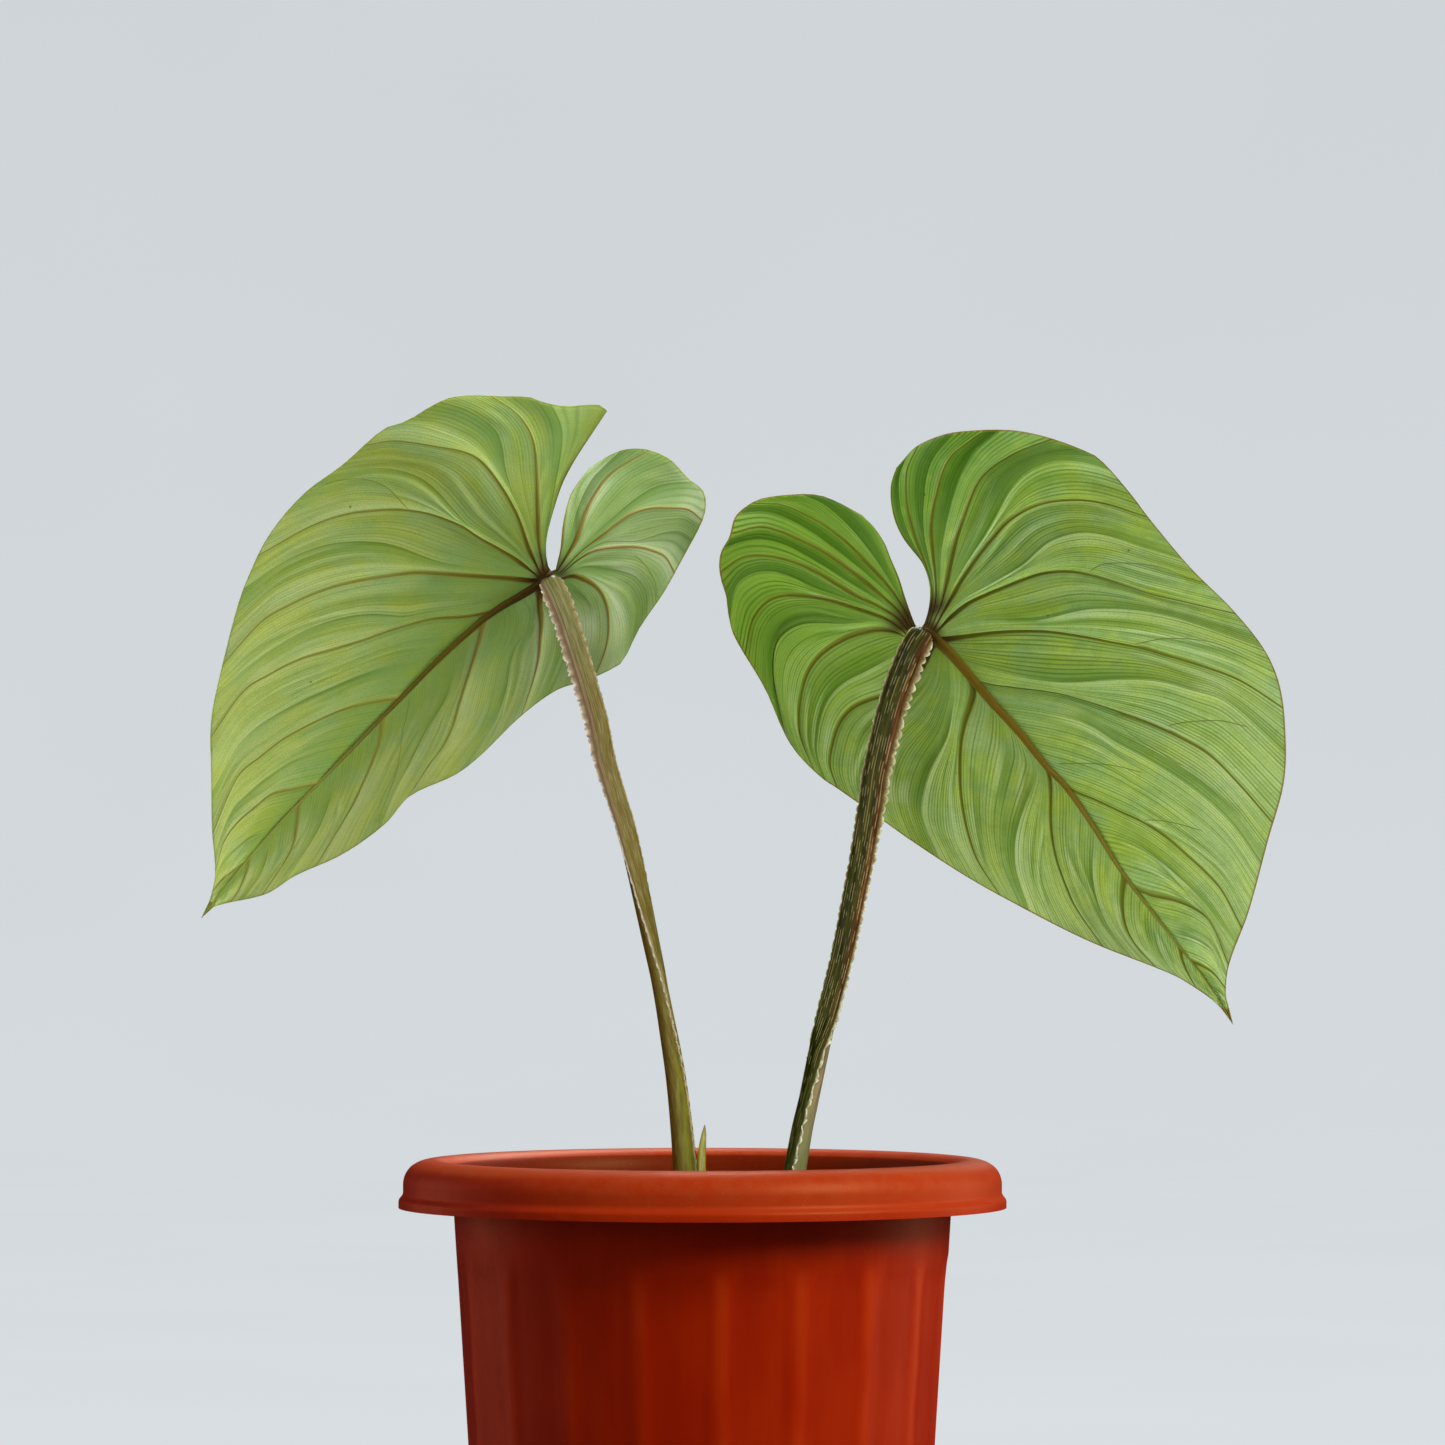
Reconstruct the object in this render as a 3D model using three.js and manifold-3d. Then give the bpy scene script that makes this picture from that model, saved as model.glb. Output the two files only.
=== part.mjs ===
// A philodendron with two heart-shaped leaves in a fluted plastic pot, in millimetres.
// +Z is up, the origin is the middle of the pot's underside and the view it is known from looks along +Y.

import * as THREE from "three";
import { mergeVertices } from "three/addons/utils/BufferGeometryUtils.js";
import Module from "manifold-3d";

const wasm = await Module();
wasm.setup();

// Driving sizes
const LIP_DIAMETER = 200.4;
const POT_HEIGHT = 168;
const BASE_RADIUS = 72.6;
const BODY_TAPER = 0.0622;
const WALL = 2;
const FLOOR = 3;
const GAP = 0.3;
const SOIL_LEVEL = 145;
const BLADE_THICKNESS = 0.8;

// The front view: leaf and stalk lines are points of it, x to the right and y down, on a 1445 point square.
// Each is brought to the plane through the pot's axis, and a depth pushes it away along the line of sight.
const FRONT_POINT = 0.33;
const AXIS_X = 702.4;
const CREST_Y = 1158.25;
const EYE = { x: 6.6, z: 280, distance: 2600 };

const frontPoint = ([x, y]) => [(x - AXIS_X) * FRONT_POINT, POT_HEIGHT + (CREST_Y - y) * FRONT_POINT];

function place([x, z], depth) {
  const push = depth / EYE.distance;
  return [x + (x - EYE.x) * push, depth, z + (z - EYE.z) * push];
}

const clamp = (value, low, high) => Math.min(high, Math.max(low, value));
const mix = (a, b, t) => a + (b - a) * t;
const mixPoint = (a, b, t) => a.map((value, k) => mix(value, b[k], t));
const distance = (a, b) => Math.hypot(...a.map((value, k) => value - b[k]));

function smoothstep(low, high, value) {
  const t = clamp((value - low) / (high - low), 0, 1);
  return t * t * (3 - 2 * t);
}

// A smooth line through points: cubic pieces, where the slope at a point is the one between its two neighbours.
function smoothLine(points) {
  const at = [0];
  for (let i = 1; i < points.length; i++) {
    at.push(at[i - 1] + distance(points[i], points[i - 1]));
  }
  const slopes = points.map((_, i) => {
    const before = Math.max(i - 1, 0);
    const after = Math.min(i + 1, points.length - 1);
    return points[i].map((_, k) => (points[after][k] - points[before][k]) / (at[after] - at[before]));
  });
  const length = at.at(-1);
  const point = (fraction) => {
    const s = clamp(fraction, 0, 1) * length;
    let i = 0;
    while (i < at.length - 2 && s > at[i + 1]) {
      i++;
    }
    const step = at[i + 1] - at[i];
    const t = (s - at[i]) / step;
    const weights = [2 * t ** 3 - 3 * t ** 2 + 1, t ** 3 - 2 * t ** 2 + t, 3 * t ** 2 - 2 * t ** 3, t ** 3 - t ** 2];
    return points[i].map((value, k) =>
      weights[0] * value + weights[1] * step * slopes[i][k] +
      weights[2] * points[i + 1][k] + weights[3] * step * slopes[i + 1][k]);
  };
  return { length, point };
}

function nearestFraction(line, target, samples = 600) {
  let best = 0;
  let bestDistance = Infinity;
  for (let i = 0; i <= samples; i++) {
    const away = distance(line.point(i / samples), target);
    if (away < bestDistance) {
      bestDistance = away;
      best = i / samples;
    }
  }
  return best;
}

// Piecewise straight reading of [position, value, value...] stations
function reading(stations, position) {
  let i = 0;
  while (i < stations.length - 2 && position > stations[i + 1][0]) {
    i++;
  }
  const t = clamp((position - stations[i][0]) / (stations[i + 1][0] - stations[i][0]), 0, 1);
  return stations[i].slice(1).map((value, k) => mix(value, stations[i + 1][k + 1], t));
}

function solidMesh(name, positions, faces, material) {
  const geometry = new THREE.BufferGeometry();
  geometry.setAttribute("position", new THREE.Float32BufferAttribute(positions.flat(), 3));
  geometry.setIndex(faces.flat());
  geometry.computeVertexNormals();
  const mesh = new THREE.Mesh(geometry, material);
  mesh.name = name;
  return mesh;
}

const plastic = new THREE.MeshStandardMaterial({ color: 0xa93414, roughness: 0.38, metalness: 0 });
const soilMaterial = new THREE.MeshStandardMaterial({ color: 0x2e2118, roughness: 0.95, metalness: 0 });
const rhizomeMaterial = new THREE.MeshStandardMaterial({ color: 0x5a5a2a, roughness: 0.6, metalness: 0 });
const oliveStalk = new THREE.MeshStandardMaterial({ color: 0x8b8a3a, roughness: 0.5, metalness: 0 });
const darkStalk = new THREE.MeshStandardMaterial({ color: 0x4a4a1c, roughness: 0.5, metalness: 0 });
const leafMaterial = new THREE.MeshStandardMaterial({ color: 0x8fae55, roughness: 0.45, metalness: 0 });
const sheathMaterial = new THREE.MeshStandardMaterial({ color: 0xa09a3c, roughness: 0.5, metalness: 0 });

// Bodies of revolution are rings of the same number of points, so any two rings join with plain strips.
const POT_SIDES = 57;

function ringStrip(faces, lower, upper, sides) {
  for (let i = 0; i < sides; i++) {
    const next = (i + 1) % sides;
    faces.push([lower + i, lower + next, upper + next], [lower + i, upper + next, upper + i]);
  }
}

// Rings go from the middle of the underside, out, up and back to the middle of the top.
function ringBody(ringPoints, sides, bottom, top) {
  const positions = [bottom];
  const faces = [];
  ringPoints.forEach((ring, r) => {
    const start = 1 + r * sides;
    positions.push(...ring);
    if (r > 0) {
      ringStrip(faces, start - sides, start, sides);
    }
  });
  const last = 1 + (ringPoints.length - 1) * sides;
  positions.push(top);
  for (let i = 0; i < sides; i++) {
    const next = (i + 1) % sides;
    faces.push([0, 1 + next, 1 + i], [positions.length - 1, last + i, last + next]);
  }
  return { positions, faces };
}

const bodyRadius = (z) => BASE_RADIUS + BODY_TAPER * z;

// Flutes: 19 shallow channels with level floors and rounded tops, between narrow ridges. The spacing and the
// place of the ridges are those seen on the front.
const FLUTES = 19;
const FLUTE_PHASE = 9.2;
const FLUTE_DEPTH = 0.7;
const FLUTE_FLANK = 0.26;
const FLUTE_TOP = 137;
const FLUTE_ARCH = 6;

function fluteDepth(angle, z) {
  const turn = (angle - FLUTE_PHASE) / (360 / FLUTES);
  const part = turn - Math.floor(turn);
  const across = smoothstep(0, FLUTE_FLANK, Math.min(part, 1 - part));
  const top = FLUTE_TOP - FLUTE_ARCH * (1 - across);
  return FLUTE_DEPTH * across * smoothstep(top, top - 7, z);
}

function pot() {
  const lip = LIP_DIAMETER / 2;
  const inner = (z) => bodyRadius(z) - WALL;
  // Each row is [radius, height] and whether the flutes mark it
  const rows = [
    [BASE_RADIUS - 1.2, 0],
    [BASE_RADIUS, 1.4, true],
    [bodyRadius(70), 70, true],
    [bodyRadius(121), 121, true],
    [bodyRadius(127), 127, true],
    [bodyRadius(133), 133, true],
    [bodyRadius(140), 140],
    [bodyRadius(158), 158],
    [bodyRadius(158) + 3.2, 163.4],
    [lip - 9, 164.2],
    [lip - 3.8, 160.4],
    [lip - 3.2, 152],
    [lip, 152],
    [lip, 154.6],
    [lip - 1.5, 156.4],
    [lip - 1.5, 161.6],
    [lip - 3.4, 165.2],
    [lip - 7.2, 167.3],
    [lip - 12.7, POT_HEIGHT],
    [lip - 16.4, 166.8],
    [lip - 18.6, 163.6],
    [inner(156), 156],
    [inner(FLOOR + 2), FLOOR + 2],
    [inner(FLOOR) - 2, FLOOR],
  ];
  const rings = rows.map(([radius, z, fluted]) =>
    Array.from({ length: POT_SIDES }, (_, i) => {
      const angle = FLUTE_PHASE + (i * 360) / POT_SIDES;
      const r = radius - (fluted ? fluteDepth(angle, z) : 0);
      return [r * Math.cos(THREE.MathUtils.degToRad(angle)), r * Math.sin(THREE.MathUtils.degToRad(angle)), z];
    }));
  const { positions, faces } = ringBody(rings, POT_SIDES, [0, 0, 0], [0, 0, FLOOR]);
  return solidMesh("pot", positions, faces, plastic);
}

const asManifold = (mesh) => {
  const geometry = mesh.geometry.clone();
  geometry.deleteAttribute("normal");
  const merged = mergeVertices(geometry, 1e-4);
  return new wasm.Manifold(new wasm.Mesh({
    numProp: 3,
    vertProperties: merged.attributes.position.array,
    triVerts: new Uint32Array(merged.index.array),
  }));
};

function fromManifold(name, solid, material) {
  const data = solid.getMesh();
  const positions = [];
  for (let i = 0; i < data.vertProperties.length; i += data.numProp) {
    positions.push([...data.vertProperties.slice(i, i + 3)]);
  }
  const faces = [];
  for (let i = 0; i < data.triVerts.length; i += 3) {
    faces.push([...data.triVerts.slice(i, i + 3)]);
  }
  return solidMesh(name, positions, faces, material);
}

const DRAIN_HOLES = 6;
const DRAIN_RING = 46;
const DRAIN_RADIUS = 4.5;

function drainedPot() {
  let solid = asManifold(pot());
  for (let i = 0; i < DRAIN_HOLES; i++) {
    const angle = ((i + 0.5) * 2 * Math.PI) / DRAIN_HOLES;
    const drill = new THREE.CylinderGeometry(DRAIN_RADIUS, DRAIN_RADIUS, FLOOR * 3, 10).rotateX(Math.PI / 2);
    drill.deleteAttribute("uv");
    drill.translate(DRAIN_RING * Math.cos(angle), DRAIN_RING * Math.sin(angle), 0);
    solid = solid.subtract(asManifold(new THREE.Mesh(drill)));
  }
  return fromManifold("pot", solid, plastic);
}

// A round body swept along a line of [x, y, z, radius] stations, with a cone at each end
function sweptBody(stations, sides, swell = 0) {
  const line = smoothLine(stations);
  const count = stations.length * 2 - 1;
  const rings = [];
  const centre = (f) => new THREE.Vector3(...line.point(f).slice(0, 3));
  for (let r = 0; r < count; r++) {
    const f = r / (count - 1);
    const along = centre(Math.min(f + 0.01, 1)).sub(centre(Math.max(f - 0.01, 0))).normalize();
    const side = new THREE.Vector3(0, 1, 0).cross(along);
    if (side.length() < 0.2) {
      side.set(1, 0, 0);
    }
    side.addScaledVector(along, -side.dot(along)).normalize();
    const up = along.clone().cross(side);
    const radius = line.point(f)[3] + swell;
    rings.push(Array.from({ length: sides }, (_, i) => {
      const angle = (i * 2 * Math.PI) / sides;
      return centre(f).addScaledVector(side, radius * Math.cos(angle)).addScaledVector(up, radius * Math.sin(angle))
        .toArray();
    }));
  }
  const first = stations[0];
  const last = stations.at(-1);
  const tip = (station, inwards) => {
    const away = new THREE.Vector3(...station.slice(0, 3)).sub(centre(inwards)).normalize();
    return new THREE.Vector3(...station.slice(0, 3)).addScaledVector(away, station[3] * 0.4 + swell).toArray();
  };
  const { positions, faces } = ringBody(rings, sides, tip(first, 0.03), tip(last, 0.97));
  return solidMesh("body", positions, faces, rhizomeMaterial);
}

// The rhizome creeps along +X, half sunk in the soil, thicker at its nodes. Stations are [x, y, z, radius].
const RHIZOME = [
  [-36, 3, 143, 5.5], [-28, 2, 145.5, 7.6], [-18, 1, 146, 7.2], [-5, 0, 146.5, 8.4], [8, 0, 146.5, 7.4],
  [26, 0, 146.5, 8.4], [35, -1, 147, 6.6], [43, -2, 147.5, 4.2],
];
const RHIZOME_SIDES = 14;

// Roots leave the rhizome's flanks and go down into the soil.
const ROOTS = [
  [[-22, -5, 145, 1.6], [-25, -13, 147.5, 1.4], [-27, -21, 144, 1.3], [-28, -24, 132, 1.1]],
  [[-12, 6, 145, 1.8], [-15, 14, 148, 1.5], [-19, 23, 144, 1.4], [-21, 27, 130, 1.2]],
  [[4, 6, 145, 1.6], [6, 13, 147.5, 1.4], [9, 20, 143, 1.3], [10, 22, 130, 1.1]],
  [[14, -5, 145, 1.8], [16, -12, 148, 1.5], [19, -21, 144, 1.4], [20, -25, 131, 1.2]],
  [[30, 6, 145, 1.6], [33, 13, 147, 1.4], [38, 21, 142, 1.3], [40, 24, 131, 1.1]],
];
const ROOT_SIDES = 6;

function rhizomeSolid(swell) {
  const body = asManifold(sweptBody(RHIZOME, RHIZOME_SIDES, swell));
  return ROOTS.reduce((solid, root) => solid.add(asManifold(sweptBody(root, ROOT_SIDES, swell))), body);
}

// Height of the rhizome's upper side over a point
function rhizomeTop(x, y) {
  const [middle, level, radius] = reading(RHIZOME, x);
  const across = clamp((y - middle) / radius, -0.95, 0.95);
  return level + radius * Math.sqrt(1 - across * across);
}

// The soil's surface swells and dips a little by a sum of waves.
const soilHeight = (x, y) =>
  SOIL_LEVEL + 0.9 * Math.sin(x * 0.11 + 1) * Math.cos(y * 0.13) + 0.6 * Math.sin(y * 0.21 + x * 0.07);

function soil() {
  const radiusAt = (z) => bodyRadius(z) - WALL - GAP;
  const ring = (radius, height) => Array.from({ length: POT_SIDES }, (_, i) => {
    const angle = THREE.MathUtils.degToRad(FLUTE_PHASE + (i * 360) / POT_SIDES);
    const x = radius * Math.cos(angle);
    const y = radius * Math.sin(angle);
    return [x, y, height(x, y)];
  });
  const low = FLOOR + GAP;
  const rings = [
    ring(radiusAt(FLOOR) - 2.4, () => low),
    ring(radiusAt(FLOOR + 2), () => low + 2),
    ...[1, 0.72, 0.42].map((part) => ring(radiusAt(SOIL_LEVEL) * part, soilHeight)),
  ];
  const { positions, faces } = ringBody(rings, POT_SIDES, [0, 0, low], [0, 0, soilHeight(0, 0)]);
  const filling = asManifold(solidMesh("soil", positions, faces, soilMaterial));
  return fromManifold("soil", filling.subtract(rhizomeSolid(GAP)), soilMaterial);
}

// The lie of a leaf in depth. Along the midrib the blade leans away from the eye, steeply at the stalk and
// little at the tip, and its rear lobes lean towards the eye. Across, it is folded along the midrib: the
// wide half faces the eye and curls towards it, and the narrow half runs away from it.
const LIE = { tipSlope: 0.1, rootSlope: 0.7, lobeSlope: 0.3, ease: 2.3, lobeEase: 12, fold: 3 };

function leafLie(leaf, spine) {
  const attach = frontPoint(leaf.attach);
  const tip = frontPoint(leaf.tip);
  const reach = distance(attach, tip);
  const along = [(tip[0] - attach[0]) / reach, (tip[1] - attach[1]) / reach];
  const across = leaf.wideSide === "left" ? [along[1], -along[0]] : [-along[1], along[0]];
  const local = ([x, z]) => {
    const away = [x - attach[0], z - attach[1]];
    return [away[0] * along[0] + away[1] * along[1], away[0] * across[0] + away[1] * across[1]];
  };
  const bow = Array.from({ length: 61 }, (_, i) => local(spine.point(i / 60))).filter(([t]) => t >= 0);
  bow.unshift([-1, 0]);
  const { tipSlope, rootSlope, lobeSlope, ease, lobeEase, fold } = LIE;
  const rise = rootSlope - tipSlope;
  const base = (q) => {
    const [t, offset] = local(q);
    const n = offset - reading(bow, t)[0];
    const lengthwise = t < 0
      ? lobeSlope * t + (rootSlope - lobeSlope) * lobeEase * (Math.exp(t / lobeEase) - 1)
      : tipSlope * t + (rise * reach / ease) * (1 - Math.max(0, 1 - t / reach) ** ease);
    const wide = fold * Math.log(1 + Math.exp(n / fold)) - fold * Math.LN2;
    const narrow = fold * Math.log(1 + Math.exp(-n / fold)) - fold * Math.LN2;
    return lengthwise - leaf.wide[0] * wide - leaf.wide[1] * wide * wide +
      leaf.narrow[0] * narrow - leaf.narrow[1] * narrow * narrow;
  };
  // A step in depth is worth this much more than the same step square to the blade.
  const steepness = ([x, z]) => {
    const dx = base([x + 0.5, z]) - base([x - 0.5, z]);
    const dz = base([x, z + 0.5]) - base([x, z - 0.5]);
    return Math.sqrt(1 + dx * dx + dz * dz);
  };
  return { base, steepness };
}

// Relief, square to the blade: the surface sinks into a crease between two veins, and a vein stands proud.
const CREASE_SHARE = 0.06;
const CREASE_MOST = 1.3;
const CREASE_PLACE = 0.56;
const VEIN_PROUD = 0.35;
const MIDRIB = { root: 1.7, tip: 0.35, halfRoot: 1.9, halfTip: 0.35 };
const EDGE_WAVE = { height: 0.9, length: 31 };
// Neighbouring rows leave the midrib at least this far apart, and reach the margin at least this far apart.
const KNOB_STEP = 0.4;
const MARGIN_STEP = 1;
const COLUMNS = 10;
const CREST_STEPS = 40;

// The lines that a half's rows follow: each vein, and the crease after it where one is given
function halfLines(half, spine, margin) {
  const lines = half.veins.flatMap(({ points, crease }) =>
    [{ points, isVein: true }, ...(crease ? [{ points: crease, isVein: false }] : [])]);
  let inner = -Infinity;
  let outer = -Infinity;
  return lines.map(({ points, isVein }, i) => {
    const line = smoothLine(points.map(frontPoint));
    inner = i === 0 ? 0 : Math.max(nearestFraction(spine, line.point(0)), inner + KNOB_STEP / spine.length);
    outer = i === 0 ? 0 : Math.max(nearestFraction(margin, line.point(1)), outer + MARGIN_STEP / margin.length);
    // A row begins where its line leaves the midrib.
    const ribHalf = mix(MIDRIB.halfRoot, MIDRIB.halfTip, inner);
    const root = spine.point(inner);
    let start = 0;
    while (start < 0.3 && distance(line.point(start), root) < ribHalf) {
      start += 0.005;
    }
    return { isVein, inner, outer, width: line.length, at: (f) => line.point(mix(start, 1, f)) };
  });
}

// Rows of one half of a blade, from the rear notch to the tip, each from the midrib to the margin
function halfRows(half, spine, lie) {
  const margin = smoothLine(half.margin.map(frontPoint));
  const lines = halfLines(half, spine, margin);
  const plan = [];
  lines.slice(0, -1).forEach((line, i) => {
    const next = lines[i + 1];
    const shares = line.isVein && next.isVein ? [0, CREASE_PLACE / 2, CREASE_PLACE, 0.8] : [0, 0.5];
    shares.forEach((share) => plan.push({ i, j: i + 1, share }));
  });
  plan.push({ i: lines.length - 1, j: lines.length - 1, share: 0 });

  return plan.map(({ i, j, share }) => {
    const [a, b] = [lines[i], lines[j]];
    const rootFraction = mix(a.inner, b.inner, share);
    const edgeFraction = mix(a.outer, b.outer, share);
    const chord = mixPoint(spine.point(a.inner), spine.point(b.inner), share);
    const rootShift = spine.point(rootFraction).map((value, k) => value - chord[k]);
    const end = mixPoint(a.at(1), b.at(1), share);
    const edgeShift = margin.point(edgeFraction).map((value, k) => value - end[k]);
    // Between two veins the surface sinks to the crease, which is its own line or lies past the middle.
    const before = lines[a.isVein ? i : i - 1];
    const after = lines[b.isVein ? j : j + 1];
    const past = share - CREASE_PLACE;
    const open = 1 - Math.abs(past) / (past < 0 ? CREASE_PLACE : 1 - CREASE_PLACE);
    const sunk = a.isVein && b.isVein ? open : a.isVein ? share * 1.2 : 1 - share * 0.8;
    const row = Array.from({ length: COLUMNS + 1 }, (_, c) => {
      const f = c / COLUMNS;
      const q = mixPoint(a.at(f), b.at(f), share)
        .map((value, k) => value + rootShift[k] * (1 - f) ** 2 + edgeShift[k] * f ** 2);
      const width = distance(before.at(f), after.at(f));
      const crease = sunk * Math.min(CREASE_MOST, CREASE_SHARE * width) * (1 - 0.5 * f ** 4);
      const proud = share === 0 && a.isVein ? VEIN_PROUD * (1 - f) : 0;
      const wave = EDGE_WAVE.height * f ** 3 *
        Math.sin((2 * Math.PI * edgeFraction * margin.length) / EDGE_WAVE.length);
      const steep = lie.steepness(q);
      return { q, back: lie.base(q) + (crease + wave) * steep, proud: proud * steep, steep };
    });
    return { rootFraction, row };
  });
}

// Twice the signed area of a triangle in the front view
const frontArea = (p, q, r) => (q[0] - p[0]) * (r[1] - p[1]) - (r[0] - p[0]) * (q[1] - p[1]);

function blade(name, leaf) {
  const spine = smoothLine(leaf.spine.map(frontPoint));
  const lie = leafLie(leaf, spine);
  const points = [];
  const faces = [];
  const add = (point) => points.push(point) - 1;
  const crest = Array.from({ length: CREST_STEPS + 1 }, (_, i) => {
    const f = (i / CREST_STEPS) * 0.992;
    const q = spine.point(f);
    const steep = lie.steepness(q);
    return { index: add({ q, back: lie.base(q), proud: mix(MIDRIB.root, MIDRIB.tip, f) * steep, steep }), f };
  });
  const tipAt = spine.point(1);
  const tip = add({ q: tipAt, back: lie.base(tipAt), proud: 0, steep: lie.steepness(tipAt) });

  for (const [side, half] of [["wide", leaf.wideHalf], ["narrow", leaf.narrowHalf]]) {
    const turned = (side === "wide") === (leaf.wideSide === "left");
    const face = (a, b, c) => faces.push(turned ? [a, b, c] : [a, c, b]);
    const rows = halfRows(half, spine, lie);
    const indices = rows.map(({ row }) => row.map(add));
    for (let r = 0; r < rows.length - 1; r++) {
      for (let c = 0; c < COLUMNS; c++) {
        const [a, b, d, e] = [indices[r][c], indices[r][c + 1], indices[r + 1][c], indices[r + 1][c + 1]];
        const size = (i, j, k) => frontArea(points[i].q, points[j].q, points[k].q) * (turned ? 1 : -1);
        if (Math.min(size(a, b, e), size(a, e, d)) >= Math.min(size(a, b, d), size(b, e, d))) {
          face(a, b, e);
          face(a, e, d);
        } else {
          face(a, b, d);
          face(b, e, d);
        }
      }
    }
    const lastRow = indices.at(-1);
    for (let c = 0; c < COLUMNS; c++) {
      face(lastRow[c], lastRow[c + 1], tip);
    }
    // The midrib's flank: a strip between the crest and the rows' roots
    let i = 0;
    let r = 0;
    while (i < crest.length - 1 || r < rows.length - 1) {
      const crestNext = i < crest.length - 1 ? crest[i + 1].f : Infinity;
      const rowNext = r < rows.length - 1 ? rows[r + 1].rootFraction : Infinity;
      if (crestNext <= rowNext) {
        face(crest[i].index, indices[r][0], crest[i + 1].index);
        i++;
      } else {
        face(crest[i].index, indices[r][0], indices[r + 1][0]);
        r++;
      }
    }
    face(crest.at(-1).index, lastRow[0], tip);
  }
  return thickened(name, points, faces);
}

// A sheet of points gets a front and a back, split into triangles alike, and a wall along its open edges.
function thickened(name, points, faces, clearance = 0) {
  const half = BLADE_THICKNESS / 2 + clearance;
  const front = points.map(({ q, back, proud, steep }) => place(q, back - half * steep - proud));
  const rear = points.map(({ q, back, steep }) => place(q, back + half * steep));
  const count = points.length;
  const solid = faces.flatMap(([a, b, c]) => [[a, b, c], [a + count, c + count, b + count]]);
  const edges = new Set(faces.flatMap(([a, b, c]) => [`${a} ${b}`, `${b} ${c}`, `${c} ${a}`]));
  for (const edge of edges) {
    const [a, b] = edge.split(" ").map(Number);
    if (!edges.has(`${b} ${a}`)) {
      solid.push([a, a + count, b + count], [a, b + count, b]);
    }
  }
  const mesh = solidMesh(name, [...front, ...rear], solid, leafMaterial);
  mesh.userData = { points, faces, front };
  return mesh;
}

// Depth of a blade's front at a front-view point, from the sheet's triangles
function frontDepth(mesh, [x, z]) {
  const { points, faces, front } = mesh.userData;
  for (const [a, b, c] of faces) {
    const [p, q, r] = [points[a].q, points[b].q, points[c].q];
    const v = frontArea(p, [x, z], r) / frontArea(p, q, r);
    const w = frontArea(p, q, [x, z]) / frontArea(p, q, r);
    if (v >= 0 && w >= 0 && v + w <= 1) {
      return front[a][1] * (1 - v - w) + front[b][1] * v + front[c][1] * w;
    }
  }
  return null;
}

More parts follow.
